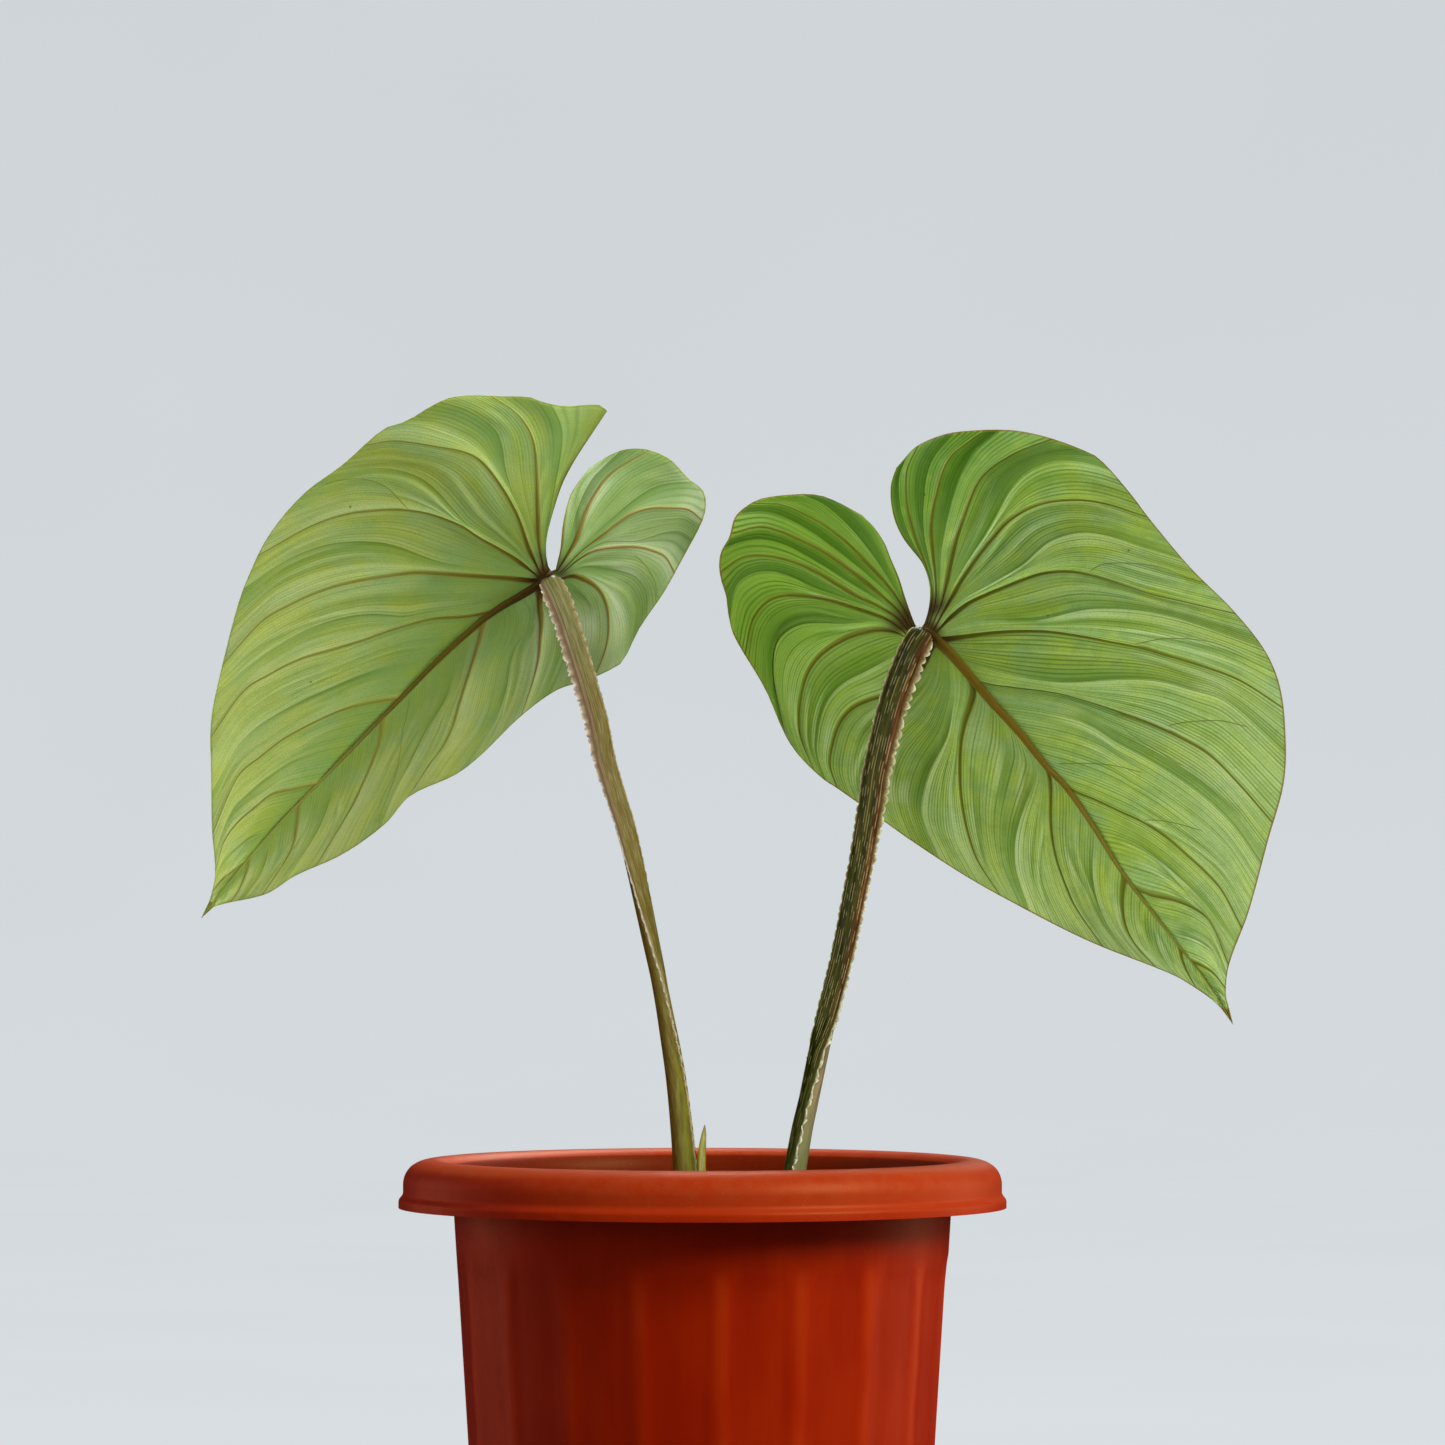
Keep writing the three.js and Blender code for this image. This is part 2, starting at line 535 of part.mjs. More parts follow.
// Left leaf: points of the front view
const leftLeaf = {
  attach: [547, 577],
  tip: [201, 918.5],
  wideSide: "left",
  wide: [0.05, 0.0016],
  narrow: [1.9, 0.008],
  spine: [
    [551, 571], [547, 577], [541, 583], [520, 596], [500, 607.5], [480, 622], [440, 658], [400, 699],
    [340, 761], [280, 823], [240, 869], [212, 904.5], [201, 918.5],
  ],
  wideHalf: {
    margin: [
      [607, 411], [603, 405.5], [588, 404.5], [566, 406], [543, 402], [530, 397], [500, 396], [469, 395],
      [448, 398], [429, 407], [406, 421], [383, 429], [343, 464], [302, 495], [268, 536], [247, 579],
      [237, 607], [221, 670], [211, 720], [211, 774], [212, 830], [215, 874], [209, 902], [201, 918.5],
    ],
    veins: [
      {
        points: [[549, 570], [546, 554], [547, 536], [553, 512], [562, 485], [574, 462], [589, 439], [606, 414]],
        crease: [[547, 572], [545, 545], [550, 512], [557, 475], [562, 445], [561, 425], [551, 404]],
      },
      {
        points: [[544, 573], [540, 550], [538, 520], [537, 480], [535, 450], [530, 432], [516, 413], [490, 396]],
        crease: [[543, 574], [534, 547], [523, 517], [512, 492], [505, 468], [502, 447], [495, 430], [470, 412],
          [440, 402]],
      },
      {
        points: [[541, 575], [530, 548], [518, 515], [505, 491], [490, 470], [478, 458], [462, 451], [440, 447],
          [415, 443], [392, 441], [364, 446]],
        crease: [[540, 576], [515, 553], [490, 538], [467, 524], [452, 508], [438, 492], [422, 479], [402, 471],
          [380, 468], [355, 470], [328, 475]],
      },
      {
        points: [[539, 577], [520, 560], [500, 548], [480, 537], [463, 526], [447, 519], [425, 512], [400, 509],
          [375, 510], [345, 514], [310, 526], [256, 556]],
        crease: [[538, 578], [505, 572], [470, 567], [440, 562], [420, 555], [402, 548], [382, 543], [355, 542],
          [325, 546], [290, 560], [246, 590]],
      },
      {
        points: [[538, 579], [510, 577], [470, 575], [440, 573], [415, 572], [390, 575], [360, 580], [335, 586],
          [310, 595], [285, 607], [262, 621], [222, 666]],
        crease: [[528, 590], [490, 602], [455, 608], [425, 612], [405, 616], [390, 615], [370, 614], [345, 617],
          [315, 626], [285, 640], [255, 660], [215, 695]],
      },
      {
        points: [[494, 611], [465, 616], [435, 618], [410, 624], [385, 632], [360, 641], [330, 650], [300, 659],
          [270, 674], [245, 690], [211, 738]],
      },
      { points: [[402, 697], [375, 701], [345, 709], [315, 722], [285, 738], [260, 757], [238, 776], [211, 835]] },
      { points: [[318, 783], [295, 788], [272, 794], [255, 807], [237, 823], [224, 842], [215, 872]] },
      { points: [[245, 862], [232, 872], [221, 882], [214, 892]] },
      { points: [[214, 902], [211.5, 903], [209, 902]] },
    ],
  },
  narrowHalf: {
    margin: [
      [589, 468], [604, 458], [622, 450], [641, 448.5], [656, 452], [671, 460], [689, 479], [702, 489],
      [706, 501], [703, 519], [685, 554], [664, 592], [639, 629], [623, 661], [614, 668], [585, 681],
      [557, 690], [520, 717], [480, 756], [455, 775], [410, 796], [385, 824], [343, 854], [295, 876],
      [266, 894], [214, 907], [201, 918.5],
    ],
    veins: [
      { points: [[555, 572], [557, 563], [560, 550], [563, 523], [570, 496], [578, 483], [589, 469]] },
      {
        points: [[557, 571], [566, 556], [576, 538], [584, 515], [592, 498], [602, 483], [613, 472], [627, 463],
          [648, 451]],
        crease: [[559, 572], [580, 549], [600, 529], [617, 514], [632, 501], [648, 490], [663, 484], [692, 481]],
      },
      {
        points: [[560, 573], [585, 548], [602, 535], [620, 521], [633, 513], [650, 508], [670, 508], [688, 510],
          [702, 521]],
        crease: [[561, 574], [579, 556], [594, 546], [613, 541], [635, 541], [650, 537], [665, 532], [680, 531],
          [694, 539]],
      },
      {
        points: [[561, 575], [578, 560], [593, 551], [612, 547], [635, 546], [652, 550], [664, 556], [673, 572]],
        crease: [[562, 576], [582, 567], [605, 568], [622, 571], [636, 577], [645, 591], [646, 615]],
      },
      { points: [[562, 578], [574, 575], [585, 579], [595, 585], [602, 593], [607, 605], [609, 620], [608, 640],
        [603, 658], [595, 677]] },
      {
        points: [[541, 590], [539, 605], [541, 622], [540, 640], [538, 660], [533, 680], [521, 716]],
        crease: [[520, 598], [530, 612], [526, 632], [515, 648], [510, 665], [507, 685], [501, 706], [493, 726],
          [466, 767]],
      },
      {
        points: [[484, 620], [479, 640], [473, 660], [466, 682], [459, 705], [452, 728], [442, 748], [430, 764],
          [408, 798]],
        crease: [[455, 645], [453, 672], [446, 697], [437, 713], [428, 727], [419, 745], [409, 765], [396, 790],
          [380, 828]],
      },
      { points: [[383, 718], [380, 740], [372, 762], [363, 782], [353, 803], [341, 823], [314, 865]] },
      { points: [[300, 802], [297, 825], [294, 842], [287, 858], [262, 895]] },
      { points: [[250, 858], [246, 873], [239, 889], [230, 903]] },
      { points: [[214, 903], [213.5, 905], [213, 907.5]] },
    ],
  },
};

// Right leaf: points of the front view
const rightLeaf = {
  attach: [927, 632],
  tip: [1233, 1025],
  wideSide: "right",
  wide: [0.05, 0.0014],
  narrow: [1.25, 0.003],
  spine: [
    [920, 629], [927, 632], [934, 638], [950, 653], [970, 676], [990, 700], [1018, 731], [1046, 766],
    [1065, 786], [1091, 823], [1119, 868], [1145, 903], [1173, 939], [1201, 974], [1220, 1002], [1233, 1025],
  ],
  wideHalf: {
    margin: [
      [896, 468], [903, 460], [914, 448], [928, 440], [949, 433], [977, 430], [1000, 429.5], [1021, 431],
      [1051, 438], [1086, 451], [1100, 459], [1131, 494], [1149, 518], [1190, 567], [1233, 610], [1264, 649],
      [1279, 683], [1285, 726], [1284, 781], [1268, 840], [1248, 913], [1229, 964], [1225.5, 993],
      [1229, 1009], [1233, 1025],
    ],
    veins: [
      { points: [[923, 627], [928, 611], [930, 594], [928, 578], [922, 563], [912, 550], [903, 538], [895, 521],
        [891, 502], [891, 484], [896, 468]] },
      { points: [[926, 626], [931, 605], [931, 585], [925, 565], [917, 545], [911, 525], [907, 505], [906, 485],
        [908, 468], [919, 446]] },
      {
        points: [[929, 625], [935, 600], [935, 580], [932, 555], [930, 530], [932, 510], [936, 493], [941, 474],
          [949, 458], [962, 446], [985, 430]],
        crease: [[930, 626], [938, 602], [940, 580], [941, 555], [945, 530], [951, 505], [957, 485], [966, 465],
          [976, 450], [1000, 430]],
      },
      {
        points: [[931, 627], [941, 603], [946, 580], [951, 558], [956, 537], [963, 517], [970, 498], [978, 481],
          [990, 468], [1005, 458], [1020, 450], [1052, 438]],
        crease: [[932, 628], [950, 592], [967, 562], [985, 535], [999, 510], [1010, 490], [1024, 474], [1042, 464],
          [1063, 460], [1090, 463], [1112, 470]],
      },
      {
        points: [[934, 629], [946, 605], [960, 580], [976, 557], [992, 537], [1007, 521], [1024, 510], [1042, 503],
          [1062, 500], [1085, 500], [1108, 504], [1130, 511], [1148, 517]],
        crease: [[935, 631], [957, 604], [982, 589], [1007, 575], [1024, 564], [1036, 553], [1048, 543], [1065, 536],
          [1085, 533], [1110, 537], [1140, 547], [1182, 560]],
      },
      {
        points: [[936, 632], [950, 615], [967, 602], [986, 593], [1006, 585], [1024, 578], [1045, 572], [1070, 571],
          [1095, 576], [1120, 584], [1150, 594], [1180, 601], [1236, 614]],
        crease: [[938, 634], [960, 625], [985, 621], [1015, 621], [1040, 620], [1058, 616], [1073, 612], [1092, 609],
          [1120, 609], [1150, 612], [1185, 620], [1262, 646]],
      },
      {
        points: [[940, 637], [960, 635], [985, 632], [1010, 630], [1040, 630], [1060, 632], [1085, 636], [1110, 641],
          [1140, 647], [1170, 656], [1200, 665], [1240, 680], [1284, 708]],
        crease: [[955, 658], [985, 668], [1020, 677], [1055, 682], [1080, 682], [1105, 680], [1135, 679], [1160, 681],
          [1190, 689], [1225, 701], [1285, 755]],
      },
      {
        points: [[974, 680], [990, 684], [1012, 687], [1037, 690], [1062, 694], [1090, 702], [1120, 712], [1150, 723],
          [1180, 737], [1210, 755], [1240, 785], [1274, 824]],
        crease: [[995, 705], [1020, 708], [1045, 712], [1075, 719], [1095, 728], [1115, 741], [1145, 757],
          [1175, 775], [1205, 797], [1235, 826], [1263, 866]],
      },
      {
        points: [[1064, 784], [1078, 792], [1095, 799], [1118, 810], [1142, 821], [1165, 836], [1185, 853],
          [1205, 871], [1222, 890], [1243, 929]],
        crease: [[1098, 834], [1118, 838], [1143, 849], [1168, 868], [1192, 890], [1210, 911], [1235, 947]],
      },
      { points: [[1134, 887], [1150, 894], [1172, 899], [1192, 907], [1209, 921], [1228, 966]] },
      { points: [[1190, 960], [1203, 966], [1214, 974], [1225.5, 988]] },
      { points: [[1225.5, 1011], [1227.3, 1010.4], [1229.5, 1010]] },
    ],
  },
  narrowHalf: {
    margin: [
      [862, 515], [838, 502], [819, 495], [798, 494], [763, 498], [748, 505], [735, 517], [729, 537],
      [721, 552], [719, 565], [721, 580], [726, 596], [728, 613], [734, 636], [765, 689], [785, 735],
      [800, 757], [823, 779], [838, 789], [882, 820], [910, 840], [962, 874], [1004, 898], [1086, 940],
      [1173, 975], [1195, 988], [1212, 1000], [1223, 1011], [1233, 1025],
    ],
    veins: [
      { points: [[917, 629], [912, 617], [905, 597], [899, 578], [891, 559], [884, 542], [873, 526], [862, 515]] },
      {
        points: [[914, 630], [902, 606], [886, 583], [867, 562], [846, 541], [826, 526], [805, 514], [783, 505],
          [752, 503]],
        crease: [[913, 631], [900, 608], [882, 588], [858, 567], [834, 548], [810, 531], [788, 519], [765, 512],
          [738, 514]],
      },
      {
        points: [[912, 632], [898, 611], [880, 594], [862, 578], [843, 564], [822, 550], [800, 539], [779, 530],
          [760, 526], [731, 533]],
        crease: [[911, 633], [898, 615], [878, 600], [855, 586], [830, 570], [805, 555], [785, 545], [765, 540],
          [748, 541], [724, 549]],
      },
      {
        points: [[910, 634], [897, 618], [878, 606], [858, 596], [838, 584], [818, 572], [798, 563], [777, 557],
          [757, 555], [740, 558], [720, 572]],
        crease: [[909, 635], [897, 621], [878, 611], [857, 603], [835, 595], [812, 587], [793, 578], [773, 572],
          [752, 574], [736, 586], [729, 622]],
      },
      {
        points: [[908, 636], [896, 625], [880, 616], [858, 608], [835, 601], [810, 596], [787, 595], [770, 599],
          [758, 609], [750, 623], [743, 655]],
        crease: [[907, 637], [895, 628], [878, 622], [860, 623], [840, 624], [820, 623], [800, 625], [785, 633],
          [776, 645], [773, 663], [775, 687], [786, 737]],
      },
      { points: [[908, 639], [895, 632], [880, 629], [862, 632], [845, 638], [828, 648], [815, 660], [806, 675],
        [801, 693], [798, 716], [800, 738], [814, 772]] },
      {
        points: [[930, 640], [926, 655], [918, 671], [905, 684], [888, 694], [868, 700], [852, 708], [840, 722],
          [833, 742], [830, 765], [838, 789]],
        crease: [[950, 655], [955, 690], [952, 715], [948, 735], [940, 752], [931, 769], [924, 790], [922, 815],
          [940, 860]],
      },
      {
        points: [[968, 676], [973, 690], [970, 704], [964, 722], [960, 742], [959, 765], [960, 790], [963, 812],
          [969, 838], [978, 862], [1000, 896]],
        crease: [[1020, 735], [1036, 768], [1033, 785], [1025, 806], [1018, 828], [1015, 850], [1017, 872],
          [1030, 912]],
      },
      { points: [[1044, 764], [1049, 778], [1050, 797], [1050, 818], [1052, 840], [1057, 862], [1065, 884],
        [1076, 908], [1104, 948]] },
      { points: [[1124, 875], [1122, 892], [1122, 910], [1126, 928], [1134, 943], [1156, 968]] },
      { points: [[1179, 947], [1182, 960], [1187, 972], [1196, 988.5]] },
      { points: [[1224, 1010], [1223.4, 1011], [1222.6, 1010.6]] },
    ],
  },
};

const leftBlade = blade("blade_left", leftLeaf);
const rightBlade = blade("blade_right", rightLeaf);

// A leaf stalk: round behind, with a shallow channel towards the eye and a ruffled wing along either edge.
// Path points are front-view points with a depth. Stations are [height on the stalk, half width, half depth,
// left wing, right wing, turn in degrees], where height runs from 0 at the rhizome to 1 at the blade. Going
// down, the left stalk's channel turns to the right and the right stalk's to the left.
const leftStalk = {
  path: [
    [686.5, 1200, 0], [684.5, 1168, 0], [681.5, 1130, -0.5], [676, 1080, -1], [668.5, 1030, -1.5],
    [660, 980, -2], [651, 940, -2.5], [642, 900, -3], [633, 860, -3.5], [624, 822, -4], [616, 795, -4.5],
    [606, 760, -5], [598, 720, -5.5], [587, 683, -6], [578, 655, -6.5], [569, 628, -7], [561, 606, -7.5],
    [555, 592, -7.5], [550.5, 583.5, -5.8],
  ],
  seat: [549.5, 581, 0],
  stations: [
    [0, 4.4, 4.2, 0, 0, -140], [0.06, 3.9, 3.8, 0.5, 0.5, -140], [0.2, 3.2, 3.3, 0.6, 0.5, -130],
    [0.3, 3, 3, 0.4, 0.4, -100], [0.42, 2.9, 2.9, 0.3, 0.4, -65], [0.52, 2.9, 2.8, 0.3, 0.4, -30],
    [0.62, 2.9, 2.8, 0.7, 0.4, 0], [0.74, 2.9, 2.8, 1.9, 0.4, 0],
    [0.86, 2.7, 2.8, 2.1, 1.1, 0], [0.96, 2.7, 2.7, 1.7, 1.7, 0], [0.985, 2.7, 2.5, 0.3, 0.3, 0],
    [1, 2.7, 2.5, 0, 0, 0],
  ],
};
const rightStalk = {
  path: [
    [787, 1200, 0], [794, 1168, 0], [801, 1130, -0.5], [808, 1100, -1], [819, 1050, -1.5], [831, 1000, -2],
    [844, 945, -3], [853, 900, -3.5], [861, 860, -4], [866, 830, -4.5], [871, 800, -5], [874.5, 775, -5.5],
    [880, 750, -6], [886, 725, -6.5], [893, 700, -7], [901, 677, -7.5], [909, 657, -8], [916, 643, -8],
    [920.5, 636.5, -6.2],
  ],
  seat: [922, 634, 0],
  stations: [
    [0, 4.6, 4.4, 0, 0, 80], [0.06, 4.1, 4.1, 0.9, 0.9, 80], [0.18, 3.3, 3.5, 0.9, 0.9, 68],
    [0.26, 3.2, 3.4, 0.7, 0.9, 50], [0.32, 3.2, 3.2, 0.5, 0.9, 15], [0.4, 3.2, 3.2, 0.5, 0.9, 0],
    [0.55, 3.4, 3.2, 0.6, 1, 0], [0.7, 3.6, 3.3, 0.7, 1.7, 0],
    [0.9, 3.8, 3.3, 0.9, 2, 0], [0.96, 3.8, 3.1, 0.7, 1.6, 0], [0.985, 3.4, 2.7, 0.2, 0.3, 0],
    [1, 3, 2.5, 0, 0, 0],
  ],
};
const STALK_RINGS = 54;
const SEAT_MARGIN = 0.1;
const WING_EDGE = 0.45;
const WING_PLACE = 0.25;
const RUFFLE = { length: 3.1, side: 0.35, depth: 0.5 };

// One section: 14 points round, as [sideways, towards the eye, wing], where wing is the signed length of the
// wing that the point ends, or 0
function stalkSection(width, depth, leftWing, rightWing) {
  const wingAt = WING_PLACE * depth;
  const front = [[0.86, 0.62], [0.4, 0.72], [0, 0.66], [-0.4, 0.72], [-0.86, 0.62]];
  const back = [200, 235, 270, 305, 340].map(THREE.MathUtils.degToRad);
  return [
    [-width - leftWing - 0.02, wingAt - WING_EDGE, -leftWing],
    [-width - leftWing - 0.05, wingAt + WING_EDGE, -leftWing],
    ...front.map(([s, t]) => [s * width, t * depth, 0]).reverse(),
    [width + rightWing + 0.05, wingAt + WING_EDGE, rightWing],
    [width + rightWing + 0.02, wingAt - WING_EDGE, rightWing],
    ...back.map((angle) => [width * Math.cos(angle), depth * Math.sin(angle), 0]).reverse(),
  ];
}

function stalk(name, shape, bladeMesh, material) {
  const path = [...shape.path, shape.seat].map(([x, y, depth]) => [...frontPoint([x, y]), depth]);
  path.at(-1)[2] = frontDepth(bladeMesh, path.at(-1)) - GAP;
  path[0][1] = rhizomeTop(path[0][0], 0) + GAP;
  const line = smoothLine(path);
  const centre = (f) => {
    const [x, z, depth] = line.point(f);
    return new THREE.Vector3(...place([x, z], depth));
  };
  const rings = [];
  for (let r = 0; r <= STALK_RINGS; r++) {
    const f = r / STALK_RINGS;
    const [width, depth, leftWing, rightWing, turn] = reading(shape.stations, f);
    const along = centre(Math.min(f + 0.004, 1)).sub(centre(Math.max(f - 0.004, 0))).normalize();
    const side = new THREE.Vector3(along.z, 0, -along.x).normalize();
    const towards = side.clone().cross(along);
    const angle = THREE.MathUtils.degToRad(turn);
    const wave = (2 * Math.PI * f * line.length) / RUFFLE.length;
    rings.push(stalkSection(width, depth, leftWing, rightWing).map(([s, t, wing]) => {
      const ruffle = Math.abs(wing);
      const ds = s + Math.sign(wing) * ruffle * RUFFLE.side * 0.5 * Math.sin(wave + wing);
      const dt = t + ruffle * RUFFLE.depth * Math.sin(wave * 0.5 + wing * 2);
      const x = ds * Math.cos(angle) - dt * Math.sin(angle);
      const y = ds * Math.sin(angle) + dt * Math.cos(angle);
      return centre(f).addScaledVector(side, x).addScaledVector(towards, y).toArray();
    }));
  }
  // The foot follows the rhizome, and the head follows the blade's underside.
  rings[0] = rings[0].map(([x, y]) => [x, y, rhizomeTop(x, y) + GAP + SEAT_MARGIN]);
  const seated = ([x, y, z]) => {
    const back = EYE.distance / (EYE.distance + y);
    const q = [EYE.x + (x - EYE.x) * back, EYE.z + (z - EYE.z) * back];
    return place(q, frontDepth(bladeMesh, q) - GAP - SEAT_MARGIN);
  };
  rings[STALK_RINGS] = rings[STALK_RINGS].map(seated);
  const foot = centre(0).toArray();
  foot[2] = rhizomeTop(foot[0], foot[1]) + GAP + SEAT_MARGIN;
  const sides = rings[0].length;
  const { positions, faces } = ringBody(rings, sides, foot, seated(centre(1).toArray()));
  // What still reaches the blade or the rhizome is cut off a gap away from it.
  const sheet = bladeMesh.userData;
  const keepOut = asManifold(thickened("keep_out", sheet.points, sheet.faces, GAP)).add(rhizomeSolid(GAP));
  const pieces = asManifold(solidMesh(name, positions, faces, material)).subtract(keepOut).decompose();
  const largest = pieces.reduce((a, b) => (a.volume() >= b.volume() ? a : b));
  return fromManifold(name, largest, material);
}

// The sheath of the next leaf: a slim, slightly flattened spike beside the left stalk.
// Stations are [x, y, z, radius], and the top closes in a point.
const SHEATH = [
  [0.8, -4.6, 153, 2.1], [0.4, -4.2, 158, 1.8], [-0.3, -3.9, 163, 1.5], [-0.1, -3.7, 170, 1.25],
  [0.5, -3.5, 176, 0.7],
];
const SHEATH_SIDES = 10;
const SHEATH_RINGS = 9;
const SHEATH_FLATNESS = 0.8;
const SHEATH_POINT = 3.4;

function cataphyll() {
  const line = smoothLine(SHEATH);
  const rings = Array.from({ length: SHEATH_RINGS }, (_, r) => {
    const [x, y, z, radius] = line.point(r / (SHEATH_RINGS - 1));
    return Array.from({ length: SHEATH_SIDES }, (_, i) => {
      const angle = (i * 2 * Math.PI) / SHEATH_SIDES;
      return [x + radius * Math.cos(angle), y + radius * SHEATH_FLATNESS * Math.sin(angle), z];
    });
  });
  const seat = (x, y) => rhizomeTop(x, y) + GAP + SEAT_MARGIN;
  rings[0] = rings[0].map(([x, y]) => [x, y, seat(x, y)]);
  const [x, y] = line.point(0);
  const [tipX, tipY, tipZ] = SHEATH.at(-1);
  const top = [tipX + 0.3, tipY, tipZ + SHEATH_POINT];
  const { positions, faces } = ringBody(rings, SHEATH_SIDES, [x, y, seat(x, y)], top);
  return solidMesh("cataphyll", positions, faces, sheathMaterial);
}

const plant = new THREE.Group();
plant.add(
  fromManifold("rhizome", rhizomeSolid(0), rhizomeMaterial),
  stalk("petiole_left", leftStalk, leftBlade, oliveStalk),
  stalk("petiole_right", rightStalk, rightBlade, darkStalk),
  leftBlade,
  rightBlade,
  cataphyll(),
);

const pottedPlant = new THREE.Group();
pottedPlant.add(drainedPot(), soil(), plant);

export default pottedPlant;
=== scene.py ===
"""A young philodendron with two heart-shaped leaves, seen from their undersides, in a fluted plastic pot.

Lengths are worked out in millimetres and go into the meshes in metres. +Z is up, the origin is the middle of
the pot's underside, and the known view looks along +Y.
"""

import math
from types import SimpleNamespace

import bpy
import numpy as np
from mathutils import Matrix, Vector


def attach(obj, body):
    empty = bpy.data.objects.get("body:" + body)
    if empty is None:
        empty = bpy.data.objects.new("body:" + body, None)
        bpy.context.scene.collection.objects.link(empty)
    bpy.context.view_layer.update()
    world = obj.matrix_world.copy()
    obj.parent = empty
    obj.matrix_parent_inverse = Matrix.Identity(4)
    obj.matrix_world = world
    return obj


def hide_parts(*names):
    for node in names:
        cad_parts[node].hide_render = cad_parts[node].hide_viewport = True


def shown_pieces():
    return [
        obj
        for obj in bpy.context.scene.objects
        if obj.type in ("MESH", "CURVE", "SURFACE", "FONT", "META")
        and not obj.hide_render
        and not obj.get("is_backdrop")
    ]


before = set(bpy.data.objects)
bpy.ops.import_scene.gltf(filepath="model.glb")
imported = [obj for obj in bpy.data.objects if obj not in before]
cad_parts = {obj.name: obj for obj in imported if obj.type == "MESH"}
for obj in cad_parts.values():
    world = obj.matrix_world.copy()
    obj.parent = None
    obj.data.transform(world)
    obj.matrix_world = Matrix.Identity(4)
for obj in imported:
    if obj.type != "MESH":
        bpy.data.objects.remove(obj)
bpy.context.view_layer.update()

MM = 0.001

# The pot and the front view, as in the solids; a point of the front view is FRONT_POINT wide
LIP_RADIUS = 100.2
POT_HEIGHT = 168
BASE_RADIUS = 72.6
BODY_TAPER = 0.0622
WALL = 2
FLOOR = 3
GAP = 0.3
SOIL_LEVEL = 145
HALF_BLADE = 0.4
FRONT_POINT = 0.33
AXIS_X = 702.4
CREST_Y = 1158.25
EYE_X, EYE_Z, EYE_DISTANCE = 6.6, 280, 2600


# Camera

VIEW_POINTS = 1445
SENSOR = 36
NEAREST, FARTHEST = 0.1, 100


def linked(name, data):
    """A new object of the scene, at the origin."""
    item = bpy.data.objects.new(name, data)
    bpy.context.scene.collection.objects.link(item)
    return item


def aim(item, target):
    """Turns a camera or a lamp so that it looks at a point, given in metres."""
    item.rotation_euler = (Vector(target) - item.location).to_track_quat("-Z", "Y").to_euler()


def make_camera():
    """The eye of the front view, with a lens that fits its square of points across the plane of the pot's
    axis."""
    middle = POT_HEIGHT + (CREST_Y - VIEW_POINTS / 2) * FRONT_POINT
    reach = math.hypot(EYE_DISTANCE, middle - EYE_Z)
    data = bpy.data.cameras.new("eye")
    data.sensor_width = SENSOR
    data.lens = SENSOR * reach / (VIEW_POINTS * FRONT_POINT)
    data.clip_start, data.clip_end = NEAREST, FARTHEST
    camera = linked("eye", data)
    camera.location = (EYE_X * MM, -EYE_DISTANCE * MM, EYE_Z * MM)
    aim(camera, (EYE_X * MM, 0, middle * MM))
    bpy.context.scene.camera = camera


make_camera()


# Shader maths

def colour(code):
    """A colour given as six hexadecimal digits, made linear: c / 12.92 where it is darkest, and elsewhere
    ((c + 0.055) / 1.055)^2.4."""
    parts = np.array([int(code[k:k + 2], 16) for k in (0, 2, 4)]) / 255
    linear = np.where(parts <= 0.04045, parts / 12.92, ((parts + 0.055) / 1.055) ** 2.4)
    return (*linear, 1.0)


class Socket:
    """An output socket of a finish. Each expression on it adds the Math node that it needs."""

    def __init__(self, finish, output):
        self.finish, self.output = finish, output

    def __add__(self, other):
        return self.finish.maths("ADD", self, other)

    __radd__ = __add__

    def __sub__(self, other):
        return self.finish.maths("SUBTRACT", self, other)

    def __rsub__(self, other):
        return self.finish.maths("SUBTRACT", other, self)

    def __mul__(self, other):
        return self.finish.maths("MULTIPLY", self, other)

    __rmul__ = __mul__

    def __pow__(self, other):
        return self.finish.maths("POWER", self, other)

    def step(self, low, high):
        """0 below low and 1 above high, with a smooth rise between them; low may be the greater one."""
        inputs = {"Value": self, "From Min": low, "From Max": high}
        if low > high:
            inputs.update({"From Min": high, "From Max": low, "To Min": 1.0, "To Max": 0.0})
        return self.finish.node("MapRange", {"interpolation_type": "SMOOTHSTEP"}, inputs)


